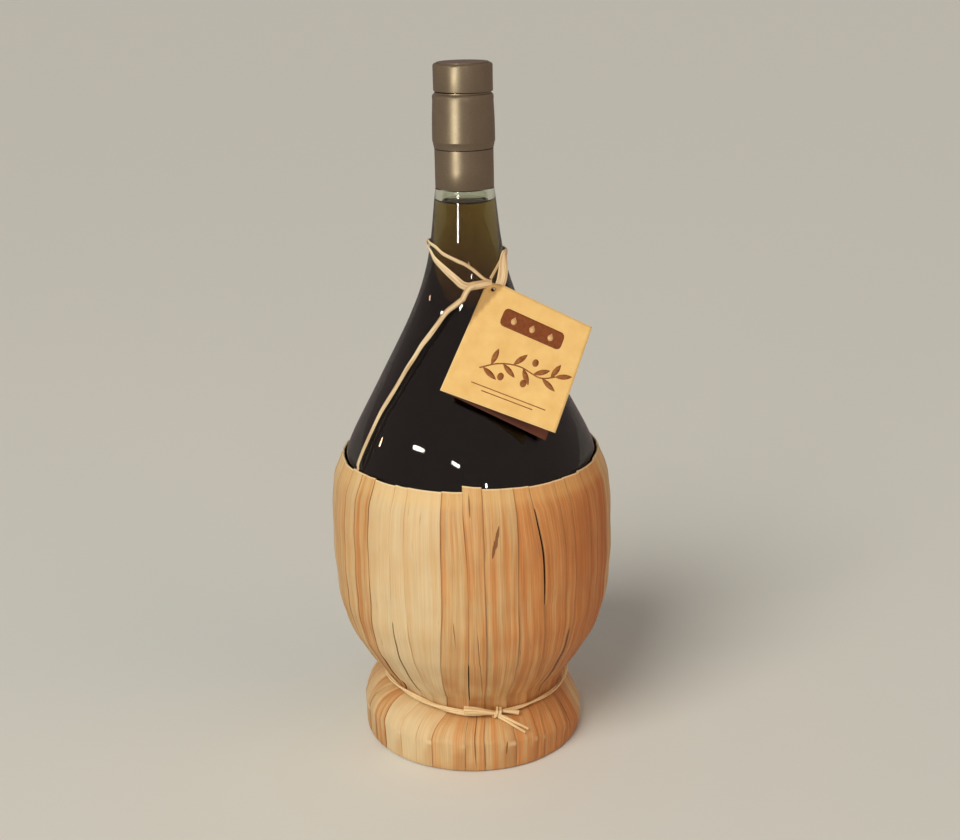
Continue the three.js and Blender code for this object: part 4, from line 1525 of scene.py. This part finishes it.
# Pale floor and soft studio light. The soft suns and the floor aren't mirrored in the glass and the
# cap, so small lamps make the glints. A sun comes from (degrees right of the front, degrees up).
lightSet = {
    "floorHalf": 60,
    "floorLook": {"Base Color": (0.76, 0.77, 0.74, 1), "Roughness": 0.8, "Specular IOR Level": 0.1},
    "keyFrom": (-36, 45),
    "keyPower": 1.7,
    "keyColour": (1, 0.93, 0.82),
    "keySoftness": 30,
    "fillFrom": (60, 18),
    "fillPower": 0.7,
    "fillColour": (1, 0.60, 0.34),
    "fillSoftness": 50,
    "worldColour": (0.92, 0.94, 0.92, 1),
    "worldStrength": 0.24,
    "mirroredColour": (1, 0.78, 0.76, 1),
    "mirroredStrength": 0.2,
    "backdropStrength": 0.62,
}


def makeFloor():
    bm = bmesh.new()
    bmesh.ops.create_grid(bm, x_segments=1, y_segments=1, size=lightSet["floorHalf"])
    floor = asObject("floor", bm)
    floor.data.materials.append(newMaterial("paleFloor", lightSet["floorLook"])[0])
    floor.visible_glossy = False


def softSun(name, fromAngles, power, colour, softness):
    data = bpy.data.lights.new(name, "SUN")
    data.energy = power
    data.color = colour
    data.angle = math.radians(softness)
    lamp = bpy.data.objects.new(name, data)
    scene.collection.objects.link(lamp)
    azimuth, height = (math.radians(angle) for angle in fromAngles)
    source = Vector((math.sin(azimuth) * math.cos(height), -math.cos(azimuth) * math.cos(height),
                     math.sin(height)))
    lamp.matrix_world = source.to_track_quat("Z", "Y").to_matrix().to_4x4()
    lamp.visible_glossy = False
    lamp.visible_transmission = False


# A rectangular lamp between two points in metres, facing the flask. Only outer surfaces mirror it.
def lampBar(name, left, right, height, radiance, colour, target=(0, 0, 0.2)):
    left, right = Vector(left), Vector(right)
    centre = (left + right) / 2
    data = bpy.data.lights.new(name, "AREA")
    data.shape = "RECTANGLE"
    data.size, data.size_y = (right - left).length, height
    data.energy = radiance * math.pi * data.size * data.size_y
    data.color = colour
    lamp = bpy.data.objects.new(name, data)
    scene.collection.objects.link(lamp)
    z = (centre - Vector(target)).normalized()
    x = (right - left).normalized()
    y = z.cross(x).normalized()
    basis = Matrix((y.cross(z), y, z)).transposed().to_4x4()
    lamp.matrix_world = Matrix.Translation(centre) @ basis
    lamp.visible_transmission = False


# Name, left and right end, height, brightness and colour of each lamp
lamps = [
    ("capStrip", (-0.78, -0.92, 0.165), (-0.54, -1.07, 0.165), 0.26, 7.5, (1, 0.95, 0.82)),
    ("neckBar", (-0.66, -1.22, 0.34), (-0.54, -1.28, 0.34), 0.09, 30, (1, 1, 0.96)),
    ("leftWindow", (-1.013, -0.542, 0.764), (-0.85, -0.739, 0.812), 0.012, 36, (1, 0.98, 0.86)),
    ("rightWindow", (-0.351, -1.053, 0.847), (-0.2, -1.11, 0.82), 0.036, 36, (1, 0.98, 0.86)),
    ("warmLamp", (-1.222, 0.2, 0.505), (-1.222, 0.24, 0.505), 0.03, 40, (1, 0.62, 0.34)),
    ("spark", (0.27, -1.24, 0.63), (0.32, -1.23, 0.63), 0.05, 40, (1, 1, 1)),
]


def makeWorld():
    world = bpy.data.worlds.new("studio")
    scene.world = world
    world.use_nodes = True
    tree = world.node_tree
    path = put(tree, "ShaderNodeLightPath").outputs
    background = tree.nodes["Background"]
    strength = ranged(tree, path["Is Glossy Ray"], 0.0, 1.0, lightSet["worldStrength"],
                      lightSet["mirroredStrength"])
    strength = ranged(tree, path["Is Camera Ray"], 0.0, 1.0, strength, lightSet["backdropStrength"])
    colour = mixed(tree, path["Is Glossy Ray"], lightSet["worldColour"], lightSet["mirroredColour"])
    tree.links.new(colour, background.inputs["Color"])
    tree.links.new(strength, background.inputs["Strength"])


makeFloor()
for kind in ("key", "fill"):
    softSun(kind + "Light", *(lightSet[kind + part] for part in ("From", "Power", "Colour", "Softness")))
for lamp in lamps:
    lampBar(*lamp)
makeWorld()
scene.view_settings.view_transform = "Standard"
print("light set")
